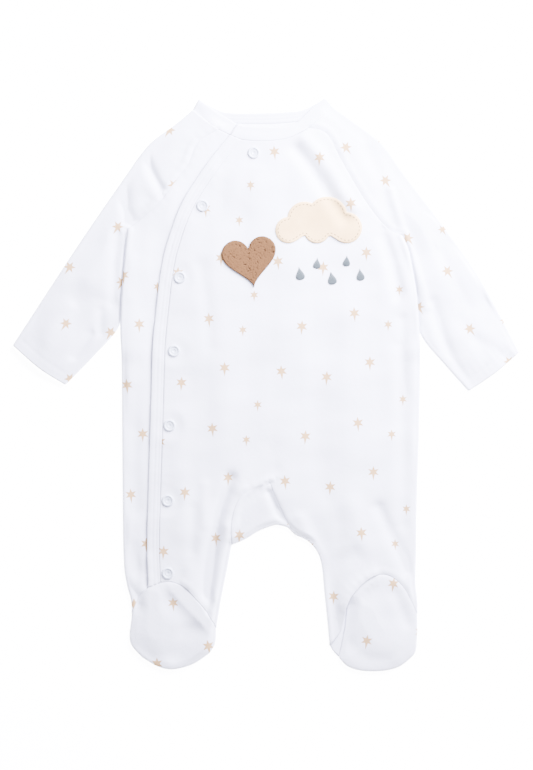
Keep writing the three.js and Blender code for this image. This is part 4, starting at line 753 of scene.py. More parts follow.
def star_group():
    """Mask of one star of the repeat: within the straight edge between a point and a notch, folded six times.

    In the angle a from the nearest point, with the point at R and the notch at q, 30 degrees on, the edge
    lies at R q sin(30) / (q sin(30 - a) + R sin(a)). The point that looks down is longer.
    """
    group = bpy.data.node_groups.new("star", "ShaderNodeTree")
    for name in ("Across", "Down", "X", "Y", "Size", "Turn"):
        group.interface.new_socket(name, in_out="INPUT", socket_type="NodeSocketFloat")
    group.interface.new_socket("Mask", in_out="OUTPUT", socket_type="NodeSocketFloat")
    given = group.nodes.new("NodeGroupInput").outputs
    whole = []
    for socket, centre in ((given["Across"], given["X"]), (given["Down"], given["Y"])):
        away = calc(group, "SUBTRACT", socket, centre)
        whole.append(calc(group, "SUBTRACT", away, calc(group, "ROUND", away)))
    flat = []
    for k in (0, 1):
        first = calc(group, "MULTIPLY", whole[0], REPEAT_ACROSS[k])
        flat.append(calc(group, "MULTIPLY_ADD", whole[1], REPEAT_DOWN[k], first))
    radius = calc(group, "SQRT", calc(group, "MULTIPLY_ADD", flat[0], flat[0], calc(group, "MULTIPLY", flat[1], flat[1])))
    angle = calc(group, "ARCTAN2", flat[0], calc(group, "MULTIPLY", flat[1], -1.0))
    turned = calc(group, "WRAP", calc(group, "SUBTRACT", angle, given["Turn"]), math.pi, -math.pi)
    round_angle = calc(group, "ABSOLUTE", turned)
    fold = calc(group, "PINGPONG", round_angle, math.pi / 6)
    down = calc(group, "LESS_THAN", round_angle, math.pi / 6)
    point = calc(group, "MULTIPLY", given["Size"], calc(group, "MULTIPLY_ADD", down, LONG_POINT - 1, 1.0))
    notch = calc(group, "MULTIPLY", given["Size"], STAR_WAIST)
    above = calc(group, "MULTIPLY", calc(group, "MULTIPLY", point, notch), 0.5)
    rest = calc(group, "SUBTRACT", math.pi / 6, fold)
    one = calc(group, "MULTIPLY", notch, calc(group, "SINE", rest))
    below = calc(group, "MULTIPLY_ADD", point, calc(group, "SINE", fold), one)
    edge = calc(group, "DIVIDE", above, below)
    mask = calc(group, "DIVIDE", calc(group, "SUBTRACT", edge, radius), STAR_SHARPNESS, clamp=True)
    out = group.nodes.new("NodeGroupOutput")
    group.links.new(mask, out.inputs["Mask"])
    return group


def print_mask(tree, group):
    """Highest mask of all the stars of the repeat, at the piece's place in it."""
    uv = tree.nodes.new("ShaderNodeUVMap")
    uv.uv_map = "fabric"
    split = tree.nodes.new("ShaderNodeSeparateXYZ")
    tree.links.new(uv.outputs[0], split.inputs[0])
    back = np.linalg.inv(np.array([REPEAT_ACROSS, REPEAT_DOWN]))
    mask = None
    for star in STARS:
        made = tree.nodes.new("ShaderNodeGroup")
        made.node_tree = group
        x, y = np.array([star["x"], star["y"]]) @ back
        values = {"Across": split.outputs[0], "Down": split.outputs[1], "X": float(x), "Y": float(y)}
        values.update({"Size": star["size"], "Turn": math.radians(star["turn"])})
        for name, value in values.items():
            put(tree, made.inputs[name], value)
        mask = made.outputs[0] if mask is None else calc(tree, "MAXIMUM", mask, made.outputs[0])
    return mask


WALE = 0.95
COURSE = 0.75


def knit(tree, place):
    """Height of a jersey's stitches: a slanted pair of waves in each wale, broken by its courses."""
    split = tree.nodes.new("ShaderNodeSeparateXYZ")
    tree.links.new(place, split.inputs[0])
    across = calc(tree, "MULTIPLY", split.outputs[0], 2000 * math.pi / WALE)
    down = calc(tree, "MULTIPLY", split.outputs[1], 2000 * math.pi / COURSE)
    wales = calc(tree, "ABSOLUTE", calc(tree, "COSINE", calc(tree, "MULTIPLY", across, 0.5)))
    slant = calc(tree, "SINE", calc(tree, "ADD", down, calc(tree, "MULTIPLY", wales, 2.2)))
    return calc(tree, "MULTIPLY_ADD", slant, 0.25, wales)


def darker(colour, share):
    return tuple(share * c for c in colour[:3]) + (1,)


def jersey(name, colour, printed=True, group=None):
    """Matt white knit: stitches, faint mottling, a soft sheen and the star print, a little worn."""
    material, tree, surface, place = start_material(name)
    mottle = noise(tree, place, 45, 4)
    fibre = noise(tree, place, 1400, 2)
    base = blend(tree, calc(tree, "MULTIPLY", mottle, 0.35), colour, darker(colour, 0.93))
    if printed:
        ink = calc(tree, "MULTIPLY", print_mask(tree, group), calc(tree, "MULTIPLY_ADD", fibre, 0.24, 0.76))
        base = blend(tree, ink, base, STAR_INK)
    put(tree, surface.inputs["Base Color"], base)
    surface.inputs["Roughness"].default_value = 0.95
    surface.inputs["Sheen Weight"].default_value = 0.03
    surface.inputs["Specular IOR Level"].default_value = 0.05
    stitches = bump(tree, knit(tree, place), 0.05)
    soft = bump(tree, noise(tree, place, 260, 3), 0.15, stitches)
    put(tree, surface.inputs["Normal"], soft)
    return material


STAR_INK = (0.42, 0.225, 0.042, 1)
WHITE = (0.8, 0.81, 0.9, 1)
STARS_GROUP = star_group()
PRINTED = jersey("printed_jersey", WHITE, True, STARS_GROUP)
BAND_WHITE = jersey("band_jersey", WHITE, False)


def plain_thread(name, colour, roughness=0.7):
    """Twisted thread: a fine noise bump and a slight change of tone along it."""
    material, tree, surface, place = start_material(name)
    tone = noise(tree, place, 900, 2)
    base = blend(tree, calc(tree, "MULTIPLY", tone, 0.6), colour, darker(colour, 0.8))
    put(tree, surface.inputs["Base Color"], base)
    surface.inputs["Roughness"].default_value = roughness
    put(tree, surface.inputs["Normal"], bump(tree, tone, 0.1))
    return material


WHITE_THREAD = plain_thread("white_thread", (0.72, 0.73, 0.82, 1))
TAN_THREAD = plain_thread("tan_thread", (0.102, 0.053, 0.016, 1))


def snap_material():
    """Smooth off-white plastic, slightly see-through to the light."""
    material, tree, surface, place = start_material("snap_plastic")
    tone = noise(tree, place, 300, 2)
    colour = blend(tree, tone, (0.66, 0.7, 0.79, 1), (0.56, 0.6, 0.68, 1))
    put(tree, surface.inputs["Base Color"], colour)
    put(tree, surface.inputs["Roughness"], calc(tree, "MULTIPLY_ADD", tone, 0.1, 0.28))
    surface.inputs["Subsurface Weight"].default_value = 0.3
    surface.inputs["Subsurface Radius"].default_value = (0.001, 0.001, 0.001)
    put(tree, surface.inputs["Normal"], bump(tree, noise(tree, place, 900, 1), 0.02))
    return material


SNAP_PLASTIC = snap_material()


def felt(name, colour, shade):
    """Brushed cotton: short fibres in all directions and soft blotches."""
    material, tree, surface, place = start_material(name)
    blotch = noise(tree, place, 90, 4)
    put(tree, surface.inputs["Base Color"], blend(tree, blotch, colour, shade))
    surface.inputs["Roughness"].default_value = 0.95
    surface.inputs["Sheen Weight"].default_value = 0.05
    surface.inputs["Specular IOR Level"].default_value = 0.1
    grain = bump(tree, noise(tree, place, 1600, 4), 0.12)
    put(tree, surface.inputs["Normal"], bump(tree, blotch, 0.2, grain))
    return material


CREAM = felt("cream_cotton", (0.82, 0.567, 0.283, 1), (0.65, 0.43, 0.19, 1))


def terry_material():
    """Looped terry: painted shade makes the hollows between the loops darker than the loops' tops, and a fine noise
    varies the tone at random.
    """
    material, tree, surface, place = start_material("tan_terry")
    height = tree.nodes.new("ShaderNodeAttribute")
    height.attribute_name = "loop_height"
    grain = noise(tree, place, 1100, 4)
    # painted shade: lower loop heights get the darker colour; the grain noise adds random tone
    share = calc(tree, "MULTIPLY_ADD", grain, 0.35, calc(tree, "MULTIPLY", height.outputs["Fac"], 0.8), clamp=True)
    base = blend(tree, share, (0.02, 0.0095, 0.004, 1), (0.105, 0.049, 0.018, 1))
    put(tree, surface.inputs["Base Color"], base)
    surface.inputs["Roughness"].default_value = 1
    surface.inputs["Sheen Weight"].default_value = 0.05
    surface.inputs["Specular IOR Level"].default_value = 0.1
    put(tree, surface.inputs["Normal"], bump(tree, grain, 0.35))
    return material


TERRY = terry_material()


def satin_material():
    """Embroidery: parallel threads that run down each drop, with painted shade in the grooves between them."""
    material, tree, surface, place = start_material("satin_thread")
    uv = tree.nodes.new("ShaderNodeUVMap")
    uv.uv_map = "fabric"
    split = tree.nodes.new("ShaderNodeSeparateXYZ")
    tree.links.new(uv.outputs[0], split.inputs[0])
    rows = calc(tree, "SINE", calc(tree, "MULTIPLY", split.outputs[0], 2 * math.pi / 0.42))
    # painted shade: where the thread bump is low the colour is darker
    share = calc(tree, "MULTIPLY_ADD", rows, 0.4, 0.5)
    base = blend(tree, share, (0.034, 0.047, 0.05, 1), (0.07, 0.09, 0.096, 1))
    put(tree, surface.inputs["Base Color"], base)
    surface.inputs["Roughness"].default_value = 0.45
    surface.inputs["Sheen Weight"].default_value = 0.2
    put(tree, surface.inputs["Normal"], bump(tree, share, 0.15))
    return material


SATIN = satin_material()

# The panels

C = CURVES
MIDDLE = np.array([4, 388])
APEX = C["gusset_arch"][0]
BACK_APEX = C["crotch_left"][0]
PLACKET_LINE = C["placket_seam"]
HIP_LEFT = at_height(PLACKET_LINE, APEX[1])
HIP_RIGHT = at_height(SIDE_RIGHT, APEX[1])
CHEST_LEFT = at_height(PLACKET_LINE, MIDDLE[1])
FOOT_LEFT, FOOT_RIGHT = C["vamp_left_outer"][0], C["vamp_arc_right"][-1]


def over_panel():
    """Chest, belly and leg on each side of the middle, as grids between the panel's seams."""
    neck_middle = C["band_over_right"][0]
    upper, lower = straight(neck_middle, MIDDLE), straight(MIDDLE, APEX)
    chest_left, chest_right = straight(CHEST_LEFT, MIDDLE), straight(MIDDLE, ARMPIT_RIGHT)
    hip_left, hip_right = straight(HIP_LEFT, APEX), straight(APEX, HIP_RIGHT)
    inside_left = chain(C["gusset_arch"], C["inside_leg_left"])
    inside_right = chain(C["gusset_fold"], C["inside_leg_right"])
    foot_right = chain(C["sole_seam_right"], C["vamp_arc_right"])
    left, right = shares(92, "e"), shares(131, "se")
    chest, belly, leg = shares(100), shares(222), shares(120)
    top_left, mid_left = stretch(PLACKET_LINE, PLACKET_LINE[0, 1], MIDDLE[1]), stretch(PLACKET_LINE, MIDDLE[1], APEX[1])
    low_left = stretch(PLACKET_LINE, APEX[1], PLACKET_LINE[-1, 1])
    mid_right = stretch(SIDE_RIGHT, ARMPIT_RIGHT[1], APEX[1])
    low_right = stretch(SIDE_RIGHT, APEX[1], FOOT_RIGHT[1])
    return [
        coons(top_left, upper, C["band_over_left"], chest_left, left, chest),
        coons(upper, C["raglan_right"], C["band_over_right"], chest_right, right, chest),
        coons(mid_left, lower, chest_left, hip_left, left, belly),
        coons(lower, mid_right, chest_right, hip_right, right, belly),
        coons(low_left, inside_left, hip_left, C["vamp_left_inner"], left, leg),
        coons(inside_right, low_right, hip_right, foot_right, right, leg),
    ]


def under_panel():
    """The strip that shows between the left side and the wrap, and its underlap."""
    wrap_top, wrap_foot = C["band_left_hidden"][0], C["vamp_left_outer"][-1]
    hidden_top, hidden_foot = C["band_left_hidden"][-1], wrap_foot + (UNDERLAP, 2)
    inside = WRAP[(WRAP[:, 1] < wrap_top[1] - 1) & (WRAP[:, 1] > wrap_foot[1] + 1)]
    wrap = np.vstack([wrap_top, inside, wrap_foot])
    offset = beside(WRAP, -UNDERLAP)
    inside = offset[(offset[:, 1] < hidden_top[1] - 8) & (offset[:, 1] > hidden_foot[1] + 1)]
    hidden = np.vstack([hidden_top, inside, hidden_foot])
    cuts = [
        (C["raglan_left"], None, MIDDLE[1], 100),
        (stretch(SIDE_LEFT, ARMPIT_LEFT[1], APEX[1]), MIDDLE[1], APEX[1], 222),
        (stretch(SIDE_LEFT, APEX[1], FOOT_LEFT[1]), APEX[1], None, 100),
    ]
    grids = []
    shown_top, hidden_hem_top = C["band_left_panel"], C["band_left_hidden"]
    for outer, top, bottom, length in cuts:
        middle = stretch(wrap, top or wrap_top[1], bottom or wrap_foot[1])
        inner = stretch(hidden, top or hidden_top[1], bottom or hidden_foot[1])
        shown_hem = straight(outer[-1], middle[-1]) if bottom else C["vamp_left_outer"]
        hidden_hem = straight(middle[-1], inner[-1])
        rows = shares(length)
        grids.append(coons(outer, middle, shown_top, shown_hem, shares(26, "s"), rows))
        grids.append(coons(middle, inner, hidden_hem_top, hidden_hem, shares(UNDERLAP), rows))
        shown_top, hidden_hem_top = shown_hem, hidden_hem
    return grids


def back_panel():
    neck = C["band_back_seam"]
    share = arc_shares(neck)
    cut = [np.interp(x, neck[:, 0], share) for x in (C["raglan_left"][0, 0], 0, C["raglan_right"][0, 0])]
    top_left = along(neck, np.linspace(cut[0], cut[1], 12))
    top_right = along(neck, np.linspace(cut[1], cut[2], 12))
    top_left[0], top_right[-1] = C["raglan_left"][0], C["raglan_right"][0]
    middle = top_right[0]
    hip_left, hip_right = at_height(SIDE_LEFT, BACK_APEX[1]), at_height(SIDE_RIGHT, BACK_APEX[1])
    ankle_left, ankle_right = at_height(SIDE_LEFT, ANKLE), at_height(SIDE_RIGHT, ANKLE)
    inside_left = stretch(chain(C["crotch_left"], C["inside_leg_left"]), BACK_APEX[1], ANKLE)
    inside_right = stretch(chain(C["crotch_right"], C["inside_leg_right"]), BACK_APEX[1], ANKLE)
    upper, lower = straight(middle, MIDDLE), straight(MIDDLE, BACK_APEX)
    chest_left, chest_right = straight(ARMPIT_LEFT, MIDDLE), straight(MIDDLE, ARMPIT_RIGHT)
    belly_left, belly_right = straight(hip_left, BACK_APEX), straight(BACK_APEX, hip_right)
    hem_left, hem_right = straight(ankle_left, inside_left[-1]), straight(inside_right[-1], ankle_right)
    left, right = shares(126, "se", BACK_CELL), shares(131, "se", BACK_CELL)
    chest, belly, leg = (shares(length, "", BACK_CELL) for length in (95, 258, 66))
    return [
        coons(C["raglan_left"], upper, top_left, chest_left, left, chest),
        coons(upper, C["raglan_right"], top_right, chest_right, right, chest),
        coons(stretch(SIDE_LEFT, ARMPIT_LEFT[1], BACK_APEX[1]), lower, chest_left, belly_left, left, belly),
        coons(lower, stretch(SIDE_RIGHT, ARMPIT_RIGHT[1], BACK_APEX[1]), chest_right, belly_right, right, belly),
        coons(stretch(SIDE_LEFT, BACK_APEX[1], ANKLE), inside_left, belly_left, hem_left, left, leg),
        coons(inside_right, stretch(SIDE_RIGHT, BACK_APEX[1], ANKLE), belly_right, hem_right, right, leg),
    ]


def foot_panel(top, left, right, toes):
    """A vamp or sole in polar form: straight rays from its middle to its outline, closer near the outline."""
    outline = chain(left, toes, right[::-1], top[::-1])
    ring = along(outline, np.linspace(0, 1, round(outline_length(outline) / 2.2) + 1))
    centre = (ring.min(0) + ring.max(0)) / 2
    reach = np.array([0, *np.arange(0.04, 0.9, 0.043), 0.915, 0.945, 0.968, 0.984, 1])
    return [centre + (ring[None, ::-1] - centre) * reach[::-1, None, None]]


def outline_length(line):
    return float(np.linalg.norm(np.diff(line, axis=0), axis=1).sum())


def gusset_panel():
    """From the crotch edge up to the arch and the fold, which meet at the top."""
    arch, fold = C["gusset_arch"][::-1], C["gusset_fold"][::-1]
    keep = np.linspace(0, 0.998, 40)
    arch, fold = along(arch, keep), along(fold, keep)
    crotch = chain(C["crotch_left"][::-1], C["crotch_right"])
    top = straight(arch[-1], fold[-1])
    return [coons(arch[::-1], fold[::-1], top, crotch, shares(60), shares(55, "e"))]


body_pieces = [
    cloth("back_cloth", "back", back_panel(), back_level, BODY_EDGES, "back", PRINTED),
    cloth("over_cloth", "front_over", over_panel(), over_level, BODY_EDGES, "over", PRINTED),
    cloth("under_cloth", "front_under", under_panel(), under_level, BODY_EDGES, "under", PRINTED),
    cloth("gusset_cloth", "crotch_gusset", gusset_panel(), over_level, BODY_EDGES, "gusset", PRINTED),
]

INSIDE_LEFT = C["inside_leg_left"]
LEFT_TOP = chain(C["vamp_left_outer"], C["vamp_left_placket"], C["vamp_left_inner"])
feet = {
    "left_vamp_cloth": ("vamp_left", LEFT_TOP, "foot_left_outer", "foot_left_inner", "toes_left"),
    "right_vamp_cloth": ("vamp_right", C["vamp_arc_right"], "vamp_side_right", "foot_right_outer", "toes_right"),
}
for name, (node, top, left, right, toes) in feet.items():
    grids = foot_panel(top, C[left], C[right], C[toes])
    place = "left_foot" if "left" in name else "right_foot"
    cloth(name, node, grids, vamp_level, VAMP_EDGES, place, PRINTED)


def below_ankle(line):
    return stretch(line, ANKLE, line[-1, 1])


ANKLE_LEFT = straight(at_height(SIDE_LEFT, ANKLE), at_height(INSIDE_LEFT, ANKLE))
ANKLE_RIGHT = straight(at_height(C["inside_leg_right"], ANKLE), at_height(SIDE_RIGHT, ANKLE))
left_sole = foot_panel(ANKLE_LEFT, chain(below_ankle(SIDE_LEFT), C["foot_left_outer"]),
                       chain(below_ankle(INSIDE_LEFT), C["foot_left_inner"]), C["toes_left"])
right_sole = foot_panel(ANKLE_RIGHT, chain(below_ankle(C["inside_leg_right"]), C["heel_right"]),
                        chain(below_ankle(SIDE_RIGHT), C["foot_right_outer"]), C["toes_right"])
cloth("left_sole_cloth", "sole_left", left_sole, flat_level, BODY_EDGES, "left_foot", PRINTED)
cloth("right_sole_cloth", "sole_right", right_sole, flat_level, BODY_EDGES, "right_foot", PRINTED)


def sleeve(name, node, side, place):
    """A tube laid flat: its top and under layer share the outer fold, and below the armpit the inner one."""
    outer, inner, raglan = C[f"sleeve_{side}_outer"], C[f"sleeve_{side}_inner"], C[f"raglan_{side}"]
    neck, cuff = C[f"band_{side}_sleeve"], C[f"cuff_{side}"]
    if side == "right":
        neck = neck[::-1]
    rows = shares(270, "", SLEEVE_CELL)
    grid = coons(outer, chain(raglan, inner), neck, cuff, shares(66, "se", SLEEVE_CELL), rows)
    if side == "right":
        grid = grid[:, ::-1]
    points, faces = joined([grid])
    points = inset(points, faces, SLEEVE_EDGES)
    top = with_heights(points, sleeve_top)
    under = with_heights(points, sleeve_under)
    folded = distance(SLEEVE_EDGES, points[:, 0], points[:, 1]) < CLOTH / 2 + 0.02
    under[folded, 2] = top[folded, 2]
    both, quads = welded(np.vstack([top, under]), np.vstack([faces, faces[:, ::-1] + len(points)]))
    made = piece(name, both, quads, PRINTED, lattice(both, PRINTS[place]))
    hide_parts(node)
    return made


sleeve("left_sleeve_cloth", "sleeve_left", "left", "left_sleeve")
sleeve("right_sleeve_cloth", "sleeve_right", "right", "right_sleeve")


# Bands: strips with a rounded section

def strip(edge_line, seam_line, level, height, fall=1, columns=9, grooves=()):
    """Grid between two lines, raised by a rounded section less its sewn grooves.

    The section is height times the root of 1 - s^4, with s from -1 at the edge to the fall at the seam.
    """
    length = outline_length(seam_line)
    u = np.linspace(0, 1, max(3, round(length / 1.6)))
    t = (1 - np.cos(np.linspace(0, np.pi, columns * 2))) / 2
    a, b = along(edge_line, u)[None], along(seam_line, u)[None]
    grid = mix(a, b, t[:, None, None])
    rise = height * np.sqrt(np.maximum(1 - mix(-1, fall, t) ** 4, 0))
    for groove in grooves:
        rise = rise - groove["depth"] * np.exp(-(((t * PLACKET_WIDTH) - groove["at"]) / 0.8) ** 2)
    z = level(grid[..., 0], grid[..., 1]) + rise[:, None]
    return np.dstack([grid, z])


def band(name, node, grid):
    points, faces = joined([grid])
    points = np.column_stack([inset(points[:, :2], faces, []), points[:, 2]])
    made = piece(name, points, faces, BAND_WHITE, points[:, :2] / 100, 1)
    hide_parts(node)
    return made


def plain_level(base):
    return lambda x, y: np.full_like(x, base)


def left_band_level(x, y):
    """The panels' height at the seam; the free edge falls from the shoulder towards the wrap."""
    free_edge = mix(2.6, 1.7, smooth((x + 50) / 24))
    panels = np.minimum(sleeve_top(x, y), under_level(x, y))
    return mix(free_edge, panels, smooth(1 - distance([LEFT_BAND], x, y) / 9))


def over_band_level(x, y):
    """The panels' height at the seam; the free edge rises from the wrap."""
    free_edge = mix(3.1, 3.8, smooth((x + 31) / 22))
    panels = np.where(x > 34, np.minimum(sleeve_top(x, y), over_level(x, y)), over_level(x, y))
    return mix(free_edge, panels, smooth(1 - distance([OVER_BAND], x, y) / 9))


PLACKET_IN = beside(along(PLACKET_LINE, np.linspace(0, 1, 200)), -0.5)
PLACKET_OUT = beside(PLACKET_IN, PLACKET_WIDTH)
PLACKET_OUT[0], PLACKET_OUT[-1] = C["band_over_placket"][0], C["vamp_left_placket"][0]
PLACKET_OUT = PLACKET_OUT[(PLACKET_OUT[:, 1] <= 472.01)]
GROOVES = [{"at": 4.3, "depth": 0.22}, {"at": 7.6, "depth": 0.25}]
LEFT_BAND = chain(C["band_left_sleeve"], C["band_left_panel"], C["band_left_hidden"])
OVER_BAND = chain(C["band_over_placket"], C["band_over_left"], C["band_over_right"], C["band_right_sleeve"])


def placket_base(x, y):
    return over_level(x, y) - 0.2


band("placket_cloth", "placket_band", strip(PLACKET_OUT, PLACKET_IN, placket_base, 0.45, 0.97, 11, GROOVES))
BACK_GROOVES = [{"at": 3.4, "depth": 0.3}, {"at": 6.8, "depth": 0.3}]
band("back_neckband", "neckband_back",
     strip(C["band_back_edge"], C["band_back_seam"], plain_level(0.65), 0.7, 1, 9, BACK_GROOVES))
band("left_neckband", "neckband_left", strip(C["band_left_edge"], LEFT_BAND, left_band_level, 0.5, 0.4))
band("over_neckband", "neckband_over", strip(C["band_over_edge"], OVER_BAND, over_band_level, 0.5, 0.4))


# Stitches

def stitches(name, line, offset, pitch, length, radius, level, material, slot):
    """Short threads along a line moved sideways: each an ellipse of revolution, its ends a little sunk."""
    path = beside(along(line, np.linspace(0, 1, 400)), offset)
    total = outline_length(path)
    count = max(2, int(total / pitch))
    places = (np.arange(count) + 0.5) / count
    centre = along(path, places)
    ahead = along(path, np.minimum(places + 0.002, 1)) - along(path, np.maximum(places - 0.002, 0))
    way = ahead / np.linalg.norm(ahead, axis=1)[:, None]
    turn = np.linspace(0, 2 * np.pi, 7)
    s = np.linspace(-1, 1, 6)
    waist = np.sqrt(np.maximum(1 - s**4, 0.02))
    lengthwise = s[:, None] * length / 2 * np.ones_like(turn)
    sideways = waist[:, None] * np.cos(turn) * radius
    upwards = waist[:, None] * np.sin(turn) * radius * 0.8 - 0.5 * radius * s[:, None] ** 2
    x = centre[:, 0, None, None] + way[:, 0, None, None] * lengthwise - way[:, 1, None, None] * sideways
    y = centre[:, 1, None, None] + way[:, 1, None, None] * lengthwise + way[:, 0, None, None] * sideways
    base = level(centre[:, 0], centre[:, 1])[:, None, None]
    points = np.stack([x, y, base + upwards], -1)
    rows, columns = points.shape[1:3]
    k = np.arange(rows * columns).reshape(rows, columns)
    one = np.stack([k[:-1, :-1], k[1:, :-1], k[1:, 1:], k[:-1, 1:]], -1).reshape(-1, 4)
    faces = (one[None] + (np.arange(count) * rows * columns)[:, None, None]).reshape(-1, 4)
    made = piece(name, points.reshape(-1, 3), faces, material, None, 0)
    return made


def on_over(rise):
    return lambda x, y: over_level(x, y) + CLOTH / 2 + rise


def on_sleeve(rise):
    return lambda x, y: sleeve_top(x, y) + CLOTH / 2 + rise


for side in ("left", "right"):
    line = along(C[f"hem_{side}"], np.linspace(0.03, 0.97, 80))
    stitches(f"{side}_cuff_stitches", line, 0, 2.6, 1.9, 0.2, on_sleeve(-0.1), WHITE_THREAD, "cotton_jersey")
for name, offset in (("placket_inner_stitches", 2.9), ("placket_outer_stitches", 6.2)):
    line = PLACKET_LINE[PLACKET_LINE[:, 1] < 461]
    stitches(name, line, offset, 2.6, 1.9, 0.2, on_over(-0.2), WHITE_THREAD, "rib_band")

# Snaps

def snap(name, node, x, y):
    """A ring cap turned round its axis: a rounded rim, a ring groove and a dimple in the middle."""
    radius = np.array([5.25, 5.25, 5.1, 4.7, 4.2, 3.75, 3.45, 3.2, 2.9, 2.4, 1.9, 1.5, 1.1, 0.6, 0.02])
    height = np.array([0, 0.55, 1.0, 1.35, 1.5, 1.42, 1.1, 0.82, 0.72, 0.78, 0.8, 0.72, 0.42, 0.3, 0.28])
    turn = np.linspace(0, 2 * np.pi, 49)
    base = SNAP_LEVEL + CLOTH / 2
    grid = np.dstack([x + radius[:, None] * np.cos(turn), y + radius[:, None] * np.sin(turn),
                      base + height[:, None] * np.ones_like(turn)])
    points, faces = joined([grid[:, ::-1]])
    made = piece(name, points, faces[:, ::-1], SNAP_PLASTIC, None, 0)
    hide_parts(node)
    return made


for k, (x, y) in enumerate(SNAPS):
    snap(f"snap_cap_{k + 1}", f"snap_{k + 1}", x, y)


# Patches

def cloud_reach(angle):
    """Furthest reach of any puff in each direction from the cloud's centre."""
    way = np.stack([np.cos(angle), np.sin(angle)], -1)
    reach = np.zeros_like(angle)
    for x, y, radius in CLOUD_PUFFS:
        ahead = way @ (x, y)
        across = way @ (-y, x)
        inside = np.maximum(radius**2 - across**2, 0)
        reach = np.maximum(reach, np.where(inside > 0, ahead + np.sqrt(inside), 0))
    return reach


TURN = np.linspace(0, 2 * np.pi, 181)
CLOUD_LINE = np.array(CLOUD_CENTRE) + cloud_reach(TURN)[:, None] * np.column_stack([np.cos(TURN), np.sin(TURN)])


def heart_line(turn):
    """The classic heart curve, in sixteenths of its half width."""
    x = -16 * np.sin(turn) ** 3
    y = 13 * np.cos(turn) - 5 * np.cos(2 * turn) - 2 * np.cos(3 * turn) - np.cos(4 * turn)
    tilt = math.radians(HEART["tilt"])
    c, s = math.cos(tilt), math.sin(tilt)
    flat = np.column_stack([x * c - y * s, x * s + y * c]) * HEART["half_width"] / 16
    return flat + HEART["centre"]


def drop_line(x, y, tilt, length, turn):
    wide = -0.52 * np.sin(turn) * np.sin(turn / 2) ** 2
    tall = 0.5 * np.cos(turn)
    c, s = math.cos(math.radians(tilt)), math.sin(math.radians(tilt))
    return np.column_stack([wide * c - tall * s, wide * s + tall * c]) * length + (x, y)


def rays(line, centre, reach):
    """Polar grid from an outline in to its centre."""
    return np.array(centre) + (line[None] - centre) * reach[:, None, None]


def patch_piece(name, node, grid, material, uv=None):
    points, faces = joined([grid])
    made = piece(name, points, faces, material, uv(points) if uv else None, 0)
    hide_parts(node)
    return made, points


def raised(line, centre, reach, profile):
    """Polar patch on the wrap: over_level plus a height profile of the share of the way to the outline."""
    grid = rays(line, centre, reach)
    z = over_level(grid[..., 0], grid[..., 1]) + CLOTH / 2 + profile(reach)[:, None]
    return np.dstack([grid, z])


CLOUD_RISE = 1.5
DOME = np.concatenate([[1.0, 1.0, 0.995, 0.985, 0.965], np.linspace(0.93, 0.01, 22)])


def patch_profile(rise):
    def profile(reach):
        top = rise * np.minimum(1, 0.45 + 0.55 * smooth((1 - reach) / 0.05))
        return np.where(np.arange(len(reach)) == 0, 0, top)
    return profile


cloud, _ = patch_piece("cloud_patch", "applique_cloud",
                       raised(CLOUD_LINE, CLOUD_CENTRE, DOME, patch_profile(CLOUD_RISE)), CREAM)


def knobs(x, y, centres, radius):
    """Height of packed loops: a round bump over each centre, the highest one at each point."""
    height = np.zeros_like(x)
    flat = np.column_stack([x.ravel(), y.ravel()])
    for k in range(0, len(flat), 2000):
        d = np.linalg.norm(flat[k:k + 2000, None] - centres[None], axis=2) / radius
        height.ravel()[k:k + 2000] = np.sqrt(np.maximum(1 - d**2, 0)).max(1)
    return height


def terry_heart():
    line = heart_line(np.linspace(0, 2 * np.pi, 241))
    centre = np.array(HEART["centre"], float) + (0, 2)
    reach = np.concatenate([[1.0, 1.0], 1 - np.array([0.012, 0.03]), np.linspace(0.95, 0.01, 44)])
    grid = rays(line, centre, reach)
    low, high = line.min(0), line.max(0)
    seeds = rng.uniform(low, high, (2600, 2))
    size = rng.uniform(0.85, 1.35, len(seeds))
    loops = knobs(grid[..., 0], grid[..., 1], seeds, size)
    rise = patch_profile(1.5)(reach)[:, None] + 0.75 * loops * smooth((1.02 - reach) / 0.04)[:, None]
    rise[0] = 0
    z = over_level(grid[..., 0], grid[..., 1]) + CLOTH / 2 + rise
    points, faces = joined([np.dstack([grid, z, loops])])
    made = piece("terry_heart", points[:, :3], faces, TERRY, None, 0)
    # The loop heights also set the painted shade that darkens the hollows between the loops.
    attribute = made.data.attributes.new("loop_height", "FLOAT", "POINT")
    attribute.data.foreach_set("value", points[:, 3].astype(np.float32))
    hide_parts("applique_heart")


terry_heart()

for k, (x, y, tilt, length) in enumerate(DROPS):
    line = drop_line(x, y, tilt, length, np.linspace(0, 2 * np.pi, 49))
    reach = np.concatenate([[1.0, 1.0], np.linspace(0.96, 0.02, 9)])
    grid = raised(line, (x, y), reach, lambda r: np.where(np.arange(len(r)) == 0, 0, 0.35 + 0.85 * np.sqrt(1 - r**2)))
    patch_piece(f"satin_drop_{k + 1}", f"embroidered_drop_{k + 1}", grid, SATIN,
                lambda points: points[:, :2] - (x, y))

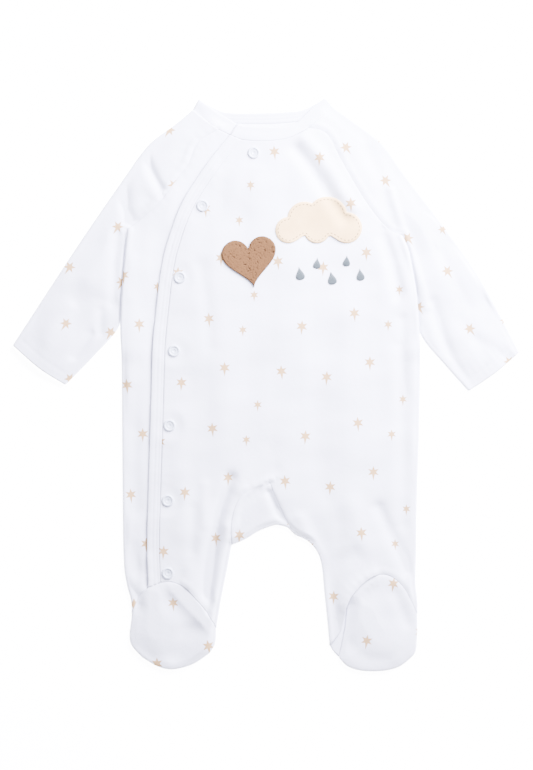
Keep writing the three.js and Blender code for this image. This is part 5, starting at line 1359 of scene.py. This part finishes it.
stitches("cloud_stitches", along(CLOUD_LINE, np.linspace(0, 1, 600)), -2.4, 3.3, 2.3, 0.3,
         on_over(CLOUD_RISE), TAN_THREAD, "cream_patch")

# Stage, light and camera

def plain_floor():
    mesh = bpy.data.meshes.new("floor")
    half = 3
    mesh.from_pydata([(-half, -half, -0.0001), (half, -half, -0.0001), (half, half, -0.0001),
                      (-half, half, -0.0001)], [], [(0, 1, 2, 3)])
    made = bpy.data.objects.new("floor", mesh)
    bpy.context.collection.objects.link(made)
    material, tree, surface, place = start_material("floor_white")
    tone = noise(tree, place, 2, 2)
    put(tree, surface.inputs["Base Color"], blend(tree, tone, (0.93, 0.93, 0.93, 1), (0.95, 0.95, 0.95, 1)))
    surface.inputs["Roughness"].default_value = 1
    surface.inputs["Specular IOR Level"].default_value = 0
    surface.inputs["Emission Color"].default_value = (1, 1, 1, 1)
    surface.inputs["Emission Strength"].default_value = 12
    made.data.materials.append(material)


plain_floor()

world = bpy.data.worlds.new("studio")
bpy.context.scene.world = world
world.use_nodes = True
world.node_tree.nodes["Background"].inputs[0].default_value = (0.98, 0.975, 1.17, 1)
world.node_tree.nodes["Background"].inputs[1].default_value = 1.4

LIGHTS = [
    {"name": "key", "place": (0.42, 0.54, 0.47), "size": 0.55, "power": 103},
]
for row in LIGHTS:
    lamp = bpy.data.lights.new(row["name"], "AREA")
    lamp.size = row["size"]
    lamp.energy = row["power"]
    lamp.color = (0.98, 0.975, 1.17)
    made = bpy.data.objects.new(row["name"], lamp)
    made.location = row["place"]
    aim = Vector((0, 0, 0)) - made.location
    made.rotation_euler = aim.to_track_quat("-Z", "Y").to_euler()
    bpy.context.collection.objects.link(made)

CAMERA_HEIGHT = 2.4
VIEW_HEIGHT = 0.6776
camera = bpy.data.cameras.new("camera")
camera.lens = camera.sensor_width * CAMERA_HEIGHT / VIEW_HEIGHT
camera.clip_start, camera.clip_end = 0.1, 10
eye = bpy.data.objects.new("camera", camera)
eye.location = (0.0004, 0, CAMERA_HEIGHT)
bpy.context.collection.objects.link(eye)
bpy.context.scene.camera = eye
